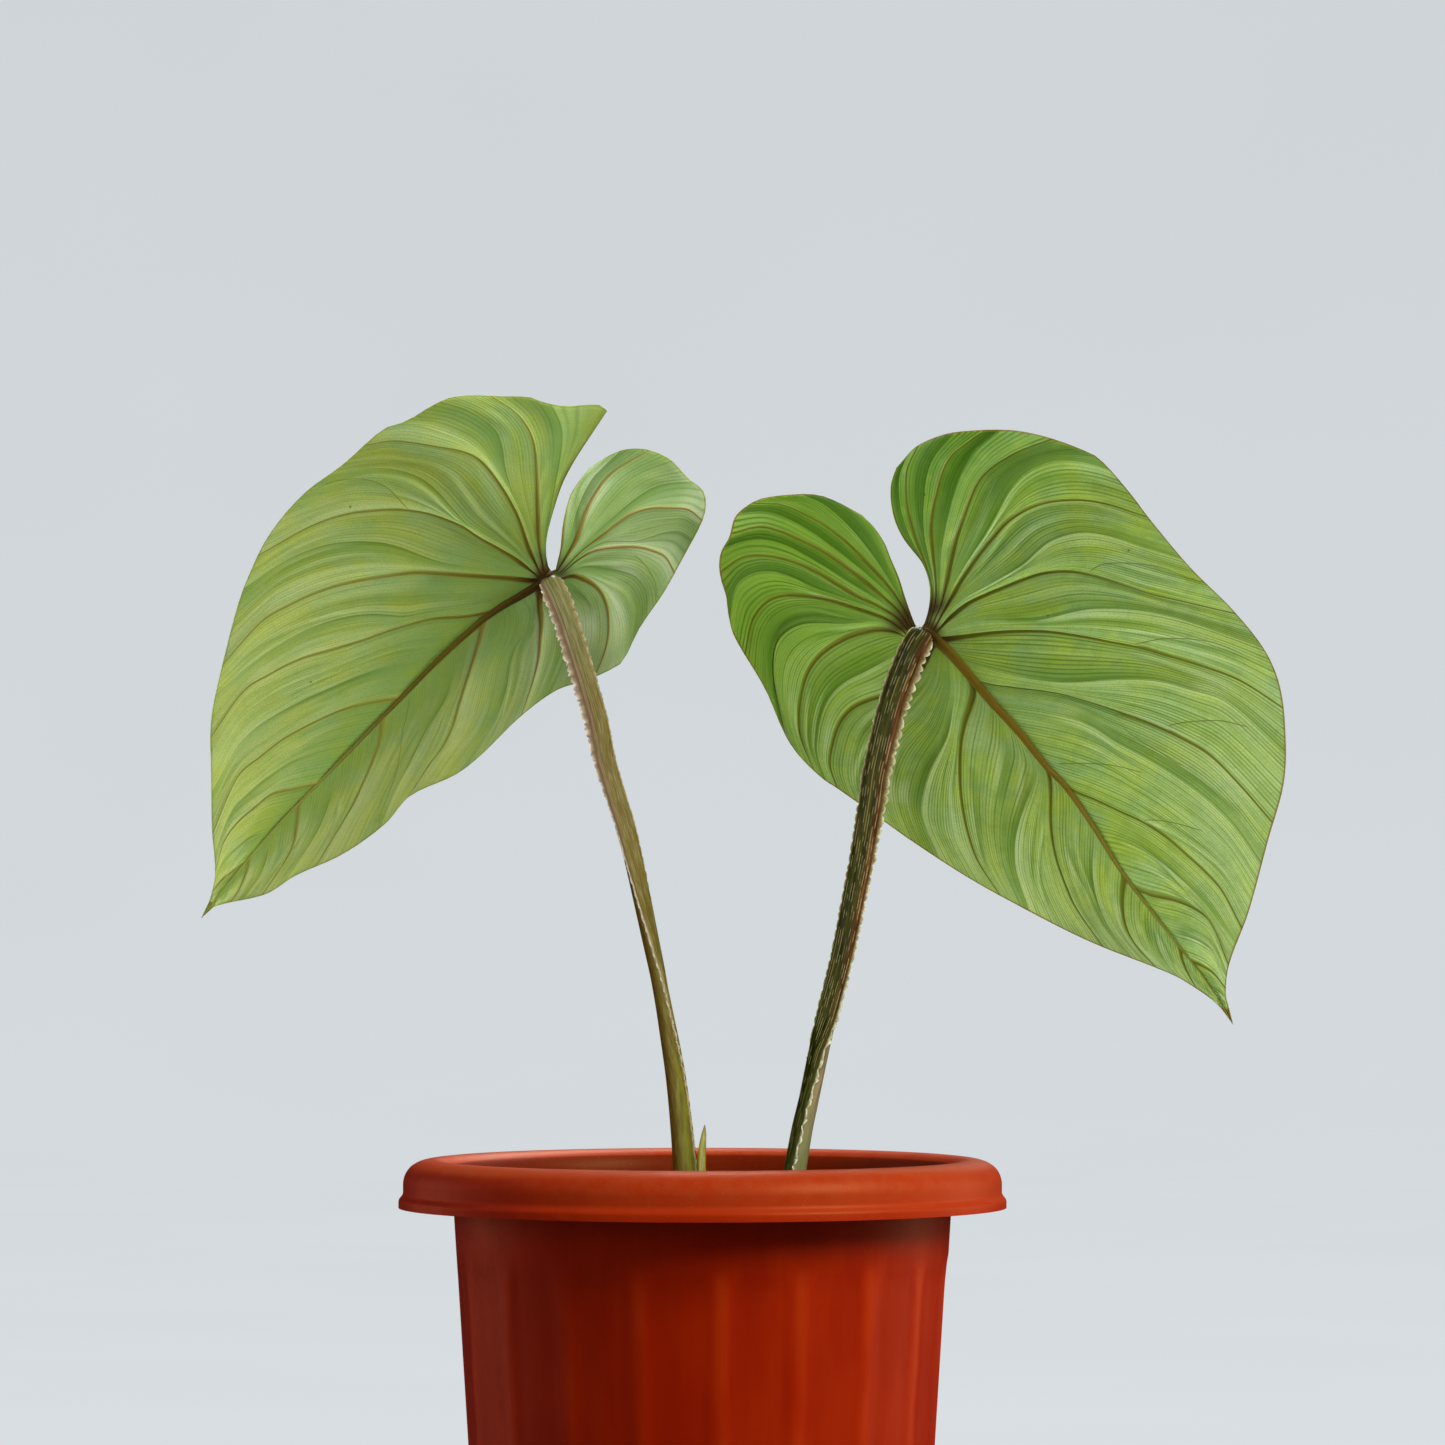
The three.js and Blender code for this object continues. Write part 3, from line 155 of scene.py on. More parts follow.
class Finish:
    """A procedural material: one Principled shader and the nodes that feed it."""

    def __init__(self, name, roughness, specular=0.5, **constants):
        self.material = bpy.data.materials.new(name)
        self.material.use_nodes = True
        self.tree = self.material.node_tree
        self.shader = self.tree.nodes["Principled BSDF"]
        self.put(self.shader.inputs["Roughness"], roughness)
        self.put(self.shader.inputs["Specular IOR Level"], specular)
        for key, value in constants.items():
            self.put(self.shader.inputs[key.replace("_", " ")], value)

    def put(self, socket, value):
        """Links a socket of this finish, or sets a constant."""
        if isinstance(value, Socket):
            self.tree.links.new(value.output, socket)
        else:
            socket.default_value = value

    def node(self, kind, settings=None, inputs=None, output=0):
        """Any node: its settings are set first, then its sockets get values or links."""
        node = self.tree.nodes.new("ShaderNode" + kind)
        for key, value in (settings or {}).items():
            setattr(node, key, value)
        for key, value in (inputs or {}).items():
            self.put(node.inputs[key], value)
        return Socket(self, node.outputs[output])

    def maths(self, operation, *values):
        """One Math node."""
        return self.node("Math", {"operation": operation}, dict(enumerate(values)))

    def most(self, a, b):
        """The greater of two values."""
        return self.maths("MAXIMUM", a, b)

    def mix(self, a, b, amount):
        """From colour a to colour b, each given as a socket or as six hexadecimal digits."""
        a, b = (colour(tint) if isinstance(tint, str) else tint for tint in (a, b))
        return self.node("Mix", {"data_type": "RGBA"}, {0: amount, 6: a, 7: b}, output=2)

    def field(self, name):
        """A number that the mesh carries at its points."""
        return self.node("Attribute", {"attribute_name": name}, output=2)

    def fields(self, *names):
        """Several such numbers."""
        return [self.field(name) for name in names]

    def place(self, scale=(1, 1, 1)):
        """Object coordinates, in millimetres times the scale."""
        coordinates = self.node("TexCoord", output=3)
        return self.node("Mapping", {}, {"Vector": coordinates, "Scale": tuple(s / MM for s in scale)})

    def triple(self, **parts):
        """A vector of its parts X, Y and Z."""
        return self.node("CombineXYZ", {}, parts)

    def axis(self, vector, index):
        """One part of a vector: 0 is x, 1 is y and 2 is z."""
        return self.node("SeparateXYZ", {}, {"Vector": vector}, output=index)

    def noise(self, size, detail=2.0, where=None):
        """Soft noise from about 0.3 to 0.7, whose lumps are about size millimetres across."""
        inputs = {"Vector": where or self.place(), "Scale": 1 / size, "Detail": detail, "Roughness": 0.5}
        return self.node("TexNoise", {}, inputs)

    def vary(self, size, where=None, detail=2.0):
        """Noise spread out from 0 to 1."""
        return self.noise(size, detail, where).step(0.32, 0.68)

    def wave(self, value):
        """A sine from 0 to 1, with one period for each whole number."""
        return self.maths("SINE", value * (2 * math.pi)) * 0.5 + 0.5

    def bump(self, height, distance, strength=1.0):
        """Small relief: height from 0 to 1 stands for distance millimetres."""
        inputs = {"Height": height, "Distance": distance * MM, "Strength": strength}
        self.put(self.shader.inputs["Normal"], self.node("Bump", {}, inputs))

    def done(self, base, roughness=None):
        """The material, with its colour and, where it varies, its roughness."""
        self.put(self.shader.inputs["Base Color"], base)
        if roughness is not None:
            self.put(self.shader.inputs["Roughness"], roughness)
        return self.material


# Curves and meshes

class Line:
    """A smooth line through points: a cubic Hermite piece between each two, whose slope at a point is the
    rise between its two neighbours over the chord length between them."""

    def __init__(self, points):
        self.points = np.asarray(points, float)
        steps = np.linalg.norm(np.diff(self.points, axis=0), axis=1)
        self.at = np.concatenate([[0], np.cumsum(steps)])
        self.length = self.at[-1]
        index = np.arange(len(self.points))
        before, after = np.maximum(index - 1, 0), np.minimum(index + 1, len(index) - 1)
        self.slopes = (self.points[after] - self.points[before]) / (self.at[after] - self.at[before])[:, None]

    def __call__(self, fraction):
        s = np.clip(np.asarray(fraction, float), 0, 1) * self.length
        i = np.clip(np.searchsorted(self.at, s, side="left") - 1, 0, len(self.points) - 2)
        step = (self.at[i + 1] - self.at[i])[..., None]
        t = (s - self.at[i])[..., None] / step
        return ((2 * t**3 - 3 * t**2 + 1) * self.points[i] + (t**3 - 2 * t**2 + t) * step * self.slopes[i]
                + (3 * t**2 - 2 * t**3) * self.points[i + 1] + (t**3 - t**2) * step * self.slopes[i + 1])


NEAREST_STEPS = 600


def nearest(line, target):
    """The fraction of a line at which it comes closest to a point."""
    fractions = np.linspace(0, 1, NEAREST_STEPS + 1)
    return fractions[np.argmin(np.linalg.norm(line(fractions) - target, axis=1))]


def mix(a, b, t):
    """From a to b, with t the share of b."""
    return a + (b - a) * t


def rise(low, high, value):
    """0 up to low, 1 from high on, and 3t^2 - 2t^3 of the way t between them."""
    t = np.clip((value - low) / (high - low), 0, 1)
    return t * t * (3 - 2 * t)


def readings(stations, position):
    """Straight-line readings of each column of [position, value, value...] stations."""
    table = np.asarray(stations, float)
    return [np.interp(position, table[:, 0], column) for column in table[:, 1:].T]


def unit(vectors):
    """Vectors [row, part] divided by their lengths."""
    return vectors / np.linalg.norm(vectors, axis=1)[:, None]


def front_point(points):
    """Front-view points [x, y] as [x, z] millimetres in the plane of the pot's axis."""
    points = np.asarray(points, float)
    return np.stack([(points[..., 0] - AXIS_X) * FRONT_POINT,
                     POT_HEIGHT + (CREST_Y - points[..., 1]) * FRONT_POINT], -1)


def seen_at(q, depth):
    """The point at a depth on the line of sight through q, a point of the plane of the pot's axis."""
    push = depth / EYE_DISTANCE
    x, z = q[..., 0], q[..., 1]
    return np.stack([x + (x - EYE_X) * push, depth, z + (z - EYE_Z) * push], -1)


def full_turn(count):
    """Angles that share out one turn."""
    return np.linspace(0, 2 * np.pi, count, endpoint=False)


def lathed(radius, z, angle):
    """Points [ring, point, xyz] at radii, heights and angles that broadcast together."""
    return np.stack([radius * np.cos(angle), radius * np.sin(angle), z + 0 * angle], -1)


def grid_quads(rows, columns, around=False):
    """Quads between neighbouring points of a grid whose points are numbered row by row."""
    index = np.arange(rows * columns).reshape(rows, columns)
    if around:
        index = np.concatenate([index, index[:, :1]], axis=1)
    quads = [index[:-1, :-1], index[:-1, 1:], index[1:, 1:], index[1:, :-1]]
    return np.stack([corner.ravel() for corner in quads], 1)


def tube(rings, **fields):
    """Points, faces and fields of a closed tube from rings [ring, point, xyz], with a fan over the middle of
    each end. A field may vary from ring to ring, from point to point or both."""
    count, sides = rings.shape[:2]

    def with_ends(values):
        """The values of all points, then the means of the first ring and the last."""
        flat = values.reshape(-1, *values.shape[2:])
        return np.concatenate([flat, values[:1].mean(1), values[-1:].mean(1)])

    first, last = np.arange(sides), (count - 1) * sides + np.arange(sides)
    ends = [np.stack([np.roll(first, -1), first, np.full(sides, count * sides)], 1),
            np.stack([last, np.roll(last, -1), np.full(sides, count * sides + 1)], 1)]
    faces = [grid_quads(count, sides, around=True), np.concatenate(ends)]
    fields = {key: with_ends(np.broadcast_to(field, (count, sides))) for key, field in fields.items()}
    return with_ends(rings), faces, fields


def merged(parts):
    """Points, faces and fields of several closed parts as one."""
    points = np.concatenate([part[0] for part in parts])
    starts = np.concatenate([[0], np.cumsum([len(part[0]) for part in parts])[:-1]])
    faces = [block + start for part, start in zip(parts, starts) for block in part[1]]
    fields = {key: np.concatenate([part[2][key] for part in parts]) for key in parts[0][2]}
    return points, faces, fields


def volume(points, faces):
    """The sum of the signed volumes of the tetrahedra between the origin and each face's triangles."""
    a = points[faces[:, 0]]
    total = 0
    for k in range(1, faces.shape[1] - 1):
        total += np.einsum("ij,ij->i", a, np.cross(points[faces[:, k]], points[faces[:, k + 1]])).sum()
    return total / 6


def outward(points, faces):
    """The faces, turned about where the closed surface would have its inside out."""
    inside_out = sum(volume(points, block) for block in faces) < 0
    return [block[:, ::-1] for block in faces] if inside_out else faces


def plain_object(name, points, faces):
    """A surface of points in metres that isn't a piece of the plant or its pot."""
    mesh = bpy.data.meshes.new(name)
    mesh.from_pydata(points, [], [tuple(face) for block in faces for face in block.tolist()])
    return linked(name, mesh)


def make_piece(name, node, body, materials, face_material=None, sharp=40):
    """A mesh piece that rides on the plant and stands for a CAD node, which it hides. Its body is points,
    faces, in arrays of equal sided polygons, and fields."""
    points, faces, fields = body
    faces = outward(points, faces)
    corners = np.concatenate([block.ravel() for block in faces])
    sizes = np.concatenate([np.full(len(block), block.shape[1]) for block in faces])
    starts = np.concatenate([[0], np.cumsum(sizes)[:-1]])
    mesh = bpy.data.meshes.new(name)
    mesh.vertices.add(len(points))
    mesh.vertices.foreach_set("co", (points * MM).astype(np.float32).ravel())
    mesh.loops.add(len(corners))
    mesh.loops.foreach_set("vertex_index", corners.astype(np.int32))
    mesh.polygons.add(len(sizes))
    mesh.polygons.foreach_set("loop_start", starts.astype(np.int32))
    mesh.polygons.foreach_set("loop_total", sizes.astype(np.int32))
    for key, values in fields.items():
        attribute = mesh.attributes.new(key, "FLOAT", "POINT")
        attribute.data.foreach_set("value", np.asarray(values, np.float32).ravel())
    for material in materials:
        mesh.materials.append(material)
    if face_material is not None:
        mesh.polygons.foreach_set("material_index", np.concatenate(face_material).astype(np.int32))
    mesh.update(calc_edges=True)
    mesh.validate()
    mesh.shade_smooth()
    mesh.set_sharp_from_angle(angle=math.radians(sharp))
    piece = linked(name, mesh)
    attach(piece, "root")
    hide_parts(node)
    return piece


# Leaves: the lie and the relief are those of the solids

LIE = SimpleNamespace(tip_slope=0.1, root_slope=0.7, lobe_slope=0.3, ease=2.3, lobe_ease=12, fold=3)
BOW_POINTS = 61


class Lie:
    """A blade's depth over the front view. Along the midrib it leans away from the eye, steeply at the stalk
    and little at the tip; across it is folded along the midrib, so each half runs its own way from there."""

    def __init__(self, leaf, spine):
        self.leaf = leaf
        self.attach, tip = front_point(leaf.attach), front_point(leaf.tip)
        self.reach = np.linalg.norm(tip - self.attach)
        self.along = (tip - self.attach) / self.reach
        sign = 1 if leaf.wide_side == "left" else -1
        self.across = sign * np.array([self.along[1], -self.along[0]])
        bow = self.local(spine(np.linspace(0, 1, BOW_POINTS)))
        self.bow = np.concatenate([[[-1, 0]], bow[bow[:, 0] >= 0]])

    def local(self, q):
        """The place of q along and across the line from the knob to the tip."""
        away = q - self.attach
        return np.stack([away @ self.along, away @ self.across], -1)

    def base(self, q):
        """Lengthwise lean, less the wide half's w0 n + w1 n^2, plus the narrow half's b0 n - b1 n^2, where n
        is the distance from the midrib, rounded off near it."""
        t, offset = np.moveaxis(self.local(q), -1, 0)
        n = (offset - np.interp(t, self.bow[:, 0], self.bow[:, 1])) / LIE.fold
        lobe = LIE.lobe_slope * t + ((LIE.root_slope - LIE.lobe_slope) * LIE.lobe_ease
                                     * (np.exp(np.minimum(t, 0) / LIE.lobe_ease) - 1))
        left = np.maximum(0, 1 - t / self.reach) ** LIE.ease
        steeper = (LIE.root_slope - LIE.tip_slope) * self.reach / LIE.ease
        main = LIE.tip_slope * t + steeper * (1 - left)
        wide = LIE.fold * (np.logaddexp(0, n) - math.log(2))
        narrow = LIE.fold * (np.logaddexp(0, -n) - math.log(2))
        return (np.where(t < 0, lobe, main) - self.leaf.wide[0] * wide - self.leaf.wide[1] * wide**2
                + self.leaf.narrow[0] * narrow - self.leaf.narrow[1] * narrow**2)

    def steepness(self, q):
        """How much longer a step in depth is than the same step square to the blade."""
        x, z = np.array([0.5, 0]), np.array([0, 0.5])
        slope_x, slope_z = self.base(q + x) - self.base(q - x), self.base(q + z) - self.base(q - z)
        return np.sqrt(1 + slope_x**2 + slope_z**2)


CREASE_SHARE = 0.06
CREASE_MOST = 1.3
CREASE_PLACE = 0.56
CREASE_HALF = 0.25
# The midrib is sunk a little into both faces; on the upper one it is slimmer and nearly flat. It grows wider
# and thicker by these shares towards the knob, where its end is blunt.
MIDRIB = SimpleNamespace(root=1.7, tip=0.3, half_tip=0.14, end=0.996, sunk=0.12, rear=0.42, rear_proud=0.07,
                         rear_sunk=0.03, growth=5, wider=0.12, thicker=0.2, blunt=2.4, rings=260, sides=19)
EDGE_WAVE = SimpleNamespace(height=0.9, length=31)
KNOB_STEP = 0.4
MARGIN_STEP = 1
# A vein is broadest where it leaves the knob, less so where it leaves the midrib further on
VEIN_HALF = SimpleNamespace(knob=1.35, midrib=1.0, margin=0.28, flare=0.6, flare_length=0.03)
VEIN_PROUD = SimpleNamespace(root=0.5, tip=0.1)
# A fork is drawn where its line is near the straight step between two lines and clear of both.
FORK = SimpleNamespace(half=0.2, proud=0.1, near=0.6, clear=0.02, fade=(-0.02, 0.03), samples=300)
VEIN_ROOM = 0.4
STRIPE_GAP = 1.05
STRIPE_PLACE = 0.6
MARGIN_THIN = 1.6
MARGIN_SHARE = 0.45
UPPER_PROUD = 0.3
COLUMNS = np.concatenate([np.linspace(0, 0.975, 62), [0.982, 0.988, 0.993, 0.997, 1]])
# Rows next to a vein, in half widths of it, and how much of the vein's mark each carries
VEIN_ROWS = [(0, 1.0), (0.5, 0.8), (1.0, 0.25), (1.7, 0.0)]
OPEN_ROWS = 5
TIP_ROWS = [0.3, 0.6, 0.85, 0.97]
TIP_FADE = 0.3
START_STEP, START_LAST = 0.005, 0.3
BLADE_FIELDS = ("vein", "fork", "fall", "after", "stripe", "crowd", "knob", "edge", "along")


def half_lines(half, spine, margin, rib):
    """The lines that a half's rows follow, in order: each vein, and the crease after it where one is given.
    They start at the midrib's flank, half its width from the spine."""
    lines, inner, outer = [], 0, 0
    for kind, points in half:
        line = Line(front_point(points))
        if lines:
            inner = max(nearest(spine, line(0)), inner + KNOB_STEP / spine.length)
            outer = max(nearest(margin, line(1)), outer + MARGIN_STEP / margin.length)
        steps = np.arange(0, START_LAST + START_STEP, START_STEP)
        rib_half = mix(rib[0], MIDRIB.half_tip, inner**rib[1])
        clear = np.linalg.norm(line(steps) - spine(inner), axis=1) >= rib_half
        start = steps[np.argmax(clear)] if clear.any() else START_LAST
        at = line(mix(start, 1, COLUMNS))
        lines.append(SimpleNamespace(kind=kind, inner=inner, outer=outer, at=at))
    return lines


def fork_home(lines, points):
    """The number of the interval between two lines that holds the middle of a fork."""
    middle = Line(front_point(points))(0.5)
    off = []
    for a, b in zip(lines, lines[1:]):
        step = b.at - a.at
        share = np.clip(np.sum((middle - a.at) * step, 1) / np.sum(step * step, 1), 0, 1)[:, None]
        off.append(np.linalg.norm(a.at + step * share - middle, axis=1).min())
    return int(np.argmin(off))


def fork_bound(a, b, points):
    """Where a fork's line lies between two lines, as a share for each column, and how strongly it is drawn
    there. The share is that of the fork's point closest to the straight step between the two lines; beyond
    the fork's ends it keeps its last value, and nothing is drawn."""
    samples = Line(front_point(points))(np.linspace(0, 1, FORK.samples))
    step = b.at - a.at
    width = np.linalg.norm(step, axis=1)
    away = samples[None] - a.at[:, None]
    off = np.abs(away[..., 0] * step[:, None, 1] - away[..., 1] * step[:, None, 0]) / width[:, None]
    best = off.argmin(1)
    share = np.einsum("cij,cj->ci", away, step)[np.arange(len(best)), best] / width**2
    columns = np.flatnonzero((off.min(1) < FORK.near) & (share > FORK.clear) & (share < 1 - FORK.clear))
    share = np.interp(np.arange(len(best)), columns, share[columns])
    first, last = COLUMNS[columns[[0, -1]]]
    out, into = FORK.fade
    return share, "fork", rise(out, into, COLUMNS - first) * rise(into, out, COLUMNS - last)


def vein_half(line):
    """Half a vein's width for each column."""
    root = mix(VEIN_HALF.knob, VEIN_HALF.midrib, line.inner**0.8)
    flare = VEIN_HALF.flare * np.exp(-COLUMNS / VEIN_HALF.flare_length)
    return mix(root, VEIN_HALF.margin, COLUMNS**0.6) + flare


def between_rows(gap, left_half, right_half):
    """Shares of the rows from one bound to the next [row, column], and each row's mark of either bound. Rows
    crowd within a few half widths of a bound, as VEIN_ROWS says, and lie evenly between."""
    reach = VEIN_ROWS[-1][0]

    def crowded(half, factor):
        return np.minimum(factor * half / gap, VEIN_ROOM * factor / reach)

    rows = [(crowded(left_half, factor), mark, 0) for factor, mark in VEIN_ROWS]
    first, last = rows[-1][0], 1 - crowded(right_half, reach)
    rows += [(mix(first, last, k / (OPEN_ROWS + 1)), 0, 0) for k in range(1, OPEN_ROWS + 1)]
    rows += [(1 - crowded(right_half, factor), 0, mark) for factor, mark in VEIN_ROWS[:0:-1]]
    return [np.array(column) for column in zip(*rows)]


def half_sheet(leaf, half, spine, lie):
    """One half of a blade as grids [row, column]: rows run from the midrib to the margin, from the rear notch
    to the tip. A point is the share-weighted mean of the lines on either side at the same fraction f of them,
    shifted so that rows start on the midrib and end on the margin. Between two veins the surface sinks to a
    crease by 1.4u - 0.4u^2, with u from 0 at the vein to 1 at the crease, and towards the margin it waves."""
    margin = Line(front_point(half.margin))
    lines = half_lines(half.lines, spine, margin, leaf.rib)
    homes = [fork_home(lines, points) for points in half.forks]
    grids = []
    stripe = 0
    for i, (a, b) in enumerate(zip(lines, lines[1:])):
        before = a if a.kind == "vein" else lines[i - 1]
        after = b if b.kind == "vein" else lines[i + 2]
        width = np.linalg.norm(after.at - before.at, axis=1)
        step = np.maximum(np.linalg.norm(b.at - a.at, axis=1), 1e-6)
        bounds = [(np.zeros_like(COLUMNS), a.kind, 1)]
        bounds += [fork_bound(a, b, points) for home, points in zip(homes, half.forks) if home == i]
        if a.kind == b.kind == "vein":
            bounds.append((np.full_like(COLUMNS, CREASE_PLACE), "crease", 1))
        bounds.append((np.ones_like(COLUMNS), b.kind, 1))
        bounds.sort(key=lambda bound: bound[0].mean())
        halves = [{"vein": vein_half(line), "crease": CREASE_HALF, "fork": FORK.half} for line in (a, b)]
        lines_between = max(2, round(np.interp(STRIPE_PLACE, COLUMNS, step) / STRIPE_GAP))
        for low, high in zip(bounds, bounds[1:]):
            gap = np.maximum((high[0] - low[0]) * step, 1e-3)
            rows, near, far = between_rows(gap, halves[0][low[1]], halves[1][high[1]])
            share = low[0] + (high[0] - low[0]) * rows
            marks = {kind: (near[:, None] * low[2] * (low[1] == kind)
                            + far[:, None] * high[2] * (high[1] == kind)) for kind in ("vein", "fork")}
            grids.append(half_rows(a, b, share, marks, width, spine, margin, lie,
                                   stripe + share * lines_between, step / lines_between))
        stripe += lines_between
    a = lines[-1]
    share = np.zeros((1, len(COLUMNS)))
    grids.append(half_rows(a, a, share, {"vein": share + 1, "fork": share}, np.full_like(COLUMNS, 0.5), spine,
                           margin, lie, share + stripe, STRIPE_GAP))
    sheet = {key: np.concatenate([grid[key] for grid in grids]) for key in grids[0]}
    return closed_to_tip(sheet, spine)


def half_rows(a, b, share, marks, width, spine, margin, lie, stripe, crowd):
    """Rows between two lines at a share [row, column], with the fields that the finish reads."""
    f = COLUMNS
    s = share[..., None]
    inner, outer = mix(a.inner, b.inner, share), mix(a.outer, b.outer, share)
    root_shift = spine(inner) - mix(spine(a.inner), spine(b.inner), s)
    edge_shift = margin(outer) - mix(a.at[-1], b.at[-1], s)
    q = mix(a.at, b.at, s) + root_shift * (1 - f[:, None]) ** 2 + edge_shift * f[:, None] ** 2
    # u is 0 at a vein and 1 at a crease; after is 1 on the far side of the crease.
    if a.kind == b.kind == "vein":
        u = np.where(share < CREASE_PLACE, share / CREASE_PLACE, (1 - share) / (1 - CREASE_PLACE))
        after = (share > CREASE_PLACE).astype(float)
    else:
        u = share if a.kind == "vein" else 1 - share
        after = float(a.kind == "crease")
    # A crease is shallower near the midrib and near the margin.
    sunk = (1.4 * u - 0.4 * u * u) * np.minimum(CREASE_MOST, CREASE_SHARE * width)
    sunk = sunk * (1 - 0.5 * f**4) * (0.4 + 0.6 * rise(0, 0.4, f))
    wave = EDGE_WAVE.height * f**3 * np.sin(2 * np.pi * outer * margin.length / EDGE_WAVE.length)
    proud = (marks["vein"] * mix(VEIN_PROUD.root, VEIN_PROUD.tip, f**0.6) + marks["fork"] * FORK.proud)
    proud = proud * np.minimum(1, width / 4)
    values = {"sink": sunk + wave, "proud": proud, "vein": marks["vein"], "fork": marks["fork"], "fall": u,
              "after": after, "stripe": stripe, "crowd": crowd, "along": f,
              "knob": np.linalg.norm(q - lie.attach, axis=-1), "edge": np.linalg.norm(q - q[:, -1:], axis=-1)}
    # Two more columns carry the sheet on to the middle of the midrib.
    under = {}
    for key, grid in values.items():
        grid = np.broadcast_to(grid, share.shape)
        under[key] = np.concatenate([grid[:, :1], grid[:, :1], grid], axis=1)
    root = spine(inner)[:, :1]
    under["q"] = np.concatenate([root, mix(root, q[:, :1], 0.5), q], axis=1)
    under["proud"][:, :2] = 0
    return under


def closed_to_tip(sheet, spine):
    """Adds rows that draw the last row in to the very tip."""
    extra = {key: np.repeat(grid[-1:], len(TIP_ROWS), axis=0) for key, grid in sheet.items()}
    extra["q"] = mix(sheet["q"][-1:], spine(1.0), np.array(TIP_ROWS)[:, None, None])
    for key in ("proud", "edge"):
        extra[key] = extra[key] * TIP_FADE
    return {key: np.concatenate([sheet[key], extra[key]]) for key in sheet}


def blade_half(leaf, half, spine, lie):
    """A closed body from a half's sheet: the underside half a thickness towards the eye, the upper face half
    a thickness away, both thinner at the margin, and a wall round the border."""
    sheet = half_sheet(leaf, half, spine, lie)
    q = sheet["q"]
    rows, columns = q.shape[:2]
    steep = lie.steepness(q)
    thick = HALF_BLADE * mix(MARGIN_SHARE, 1, rise(0, MARGIN_THIN, sheet["edge"]))
    middle = lie.base(q) + sheet["sink"] * steep
    under = seen_at(q, middle - (thick + sheet["proud"]) * steep)
    upper = seen_at(q, middle + (thick - UPPER_PROUD * sheet["proud"]) * steep)
    points = np.concatenate([under.reshape(-1, 3), upper.reshape(-1, 3)])
    count = rows * columns
    index = np.arange(count).reshape(rows, columns)
    border = np.concatenate([index[0, :-1], index[:-1, -1], index[-1, :0:-1], index[:0:-1, 0]])
    beyond = np.roll(border, -1)
    quads = grid_quads(rows, columns)
    wall = np.stack([beyond, border, border + count, beyond + count], 1)
    faces = outward(points, [quads, quads[:, ::-1] + count, wall])
    fields = {key: np.tile(sheet[key].ravel(), 2) for key in BLADE_FIELDS}
    fields["reach"] = np.tile((lie.local(q)[..., 0] / lie.reach).ravel(), 2)
    fields["narrow"] = np.full(2 * count, float(half is leaf.narrow_half))
    return points, faces, fields


def midrib(leaf, spine, lie):
    """A half ellipse carried along the midrib's line, thickest at the knob where the stalk joins, and a slim
    pale line of it on the upper face."""
    f = np.linspace(0, MIDRIB.end, MIDRIB.rings)
    front, rear = np.linspace(-1, 1, MIDRIB.sides), np.linspace(1, -1, MIDRIB.sides)[::2]
    away = f * spine.length
    swell = np.exp(-away / MIDRIB.growth)
    blunt = np.sqrt(1 - (1 - np.minimum(1, away / MIDRIB.blunt)) ** 2 * 0.96)
    half_width = mix(leaf.rib[0], MIDRIB.half_tip, f**leaf.rib[1]) * (1 + MIDRIB.wider * swell) * blunt
    height = (mix(MIDRIB.root, MIDRIB.tip, f) * (1 + MIDRIB.thicker * swell) * blunt)[:, None]
    centre = spine(f)
    tangent = unit(np.gradient(centre, axis=0))
    normal = np.stack([tangent[:, 1], -tangent[:, 0]], 1)
    side = np.concatenate([front, rear * MIDRIB.rear])
    q = centre[:, None] + normal[:, None] * (side * half_width[:, None])[..., None]
    bow, rear_bow = (np.sqrt(np.maximum(0, 1 - x**2)) for x in (front, rear))
    out = [HALF_BLADE - MIDRIB.sunk + (height + MIDRIB.sunk) * bow**1.15,
           0 * height - (HALF_BLADE + MIDRIB.rear_proud * rear_bow - MIDRIB.rear_sunk)]
    rings = seen_at(q, lie.base(q) - np.concatenate(out, axis=1) * lie.steepness(q))
    upper = np.concatenate([0 * front, 0 * rear + 1])
    return tube(rings, along=f[:, None], side=side, upper=upper, knob=away[:, None])


# Leaf lines: points of the front view, x to the right and y down

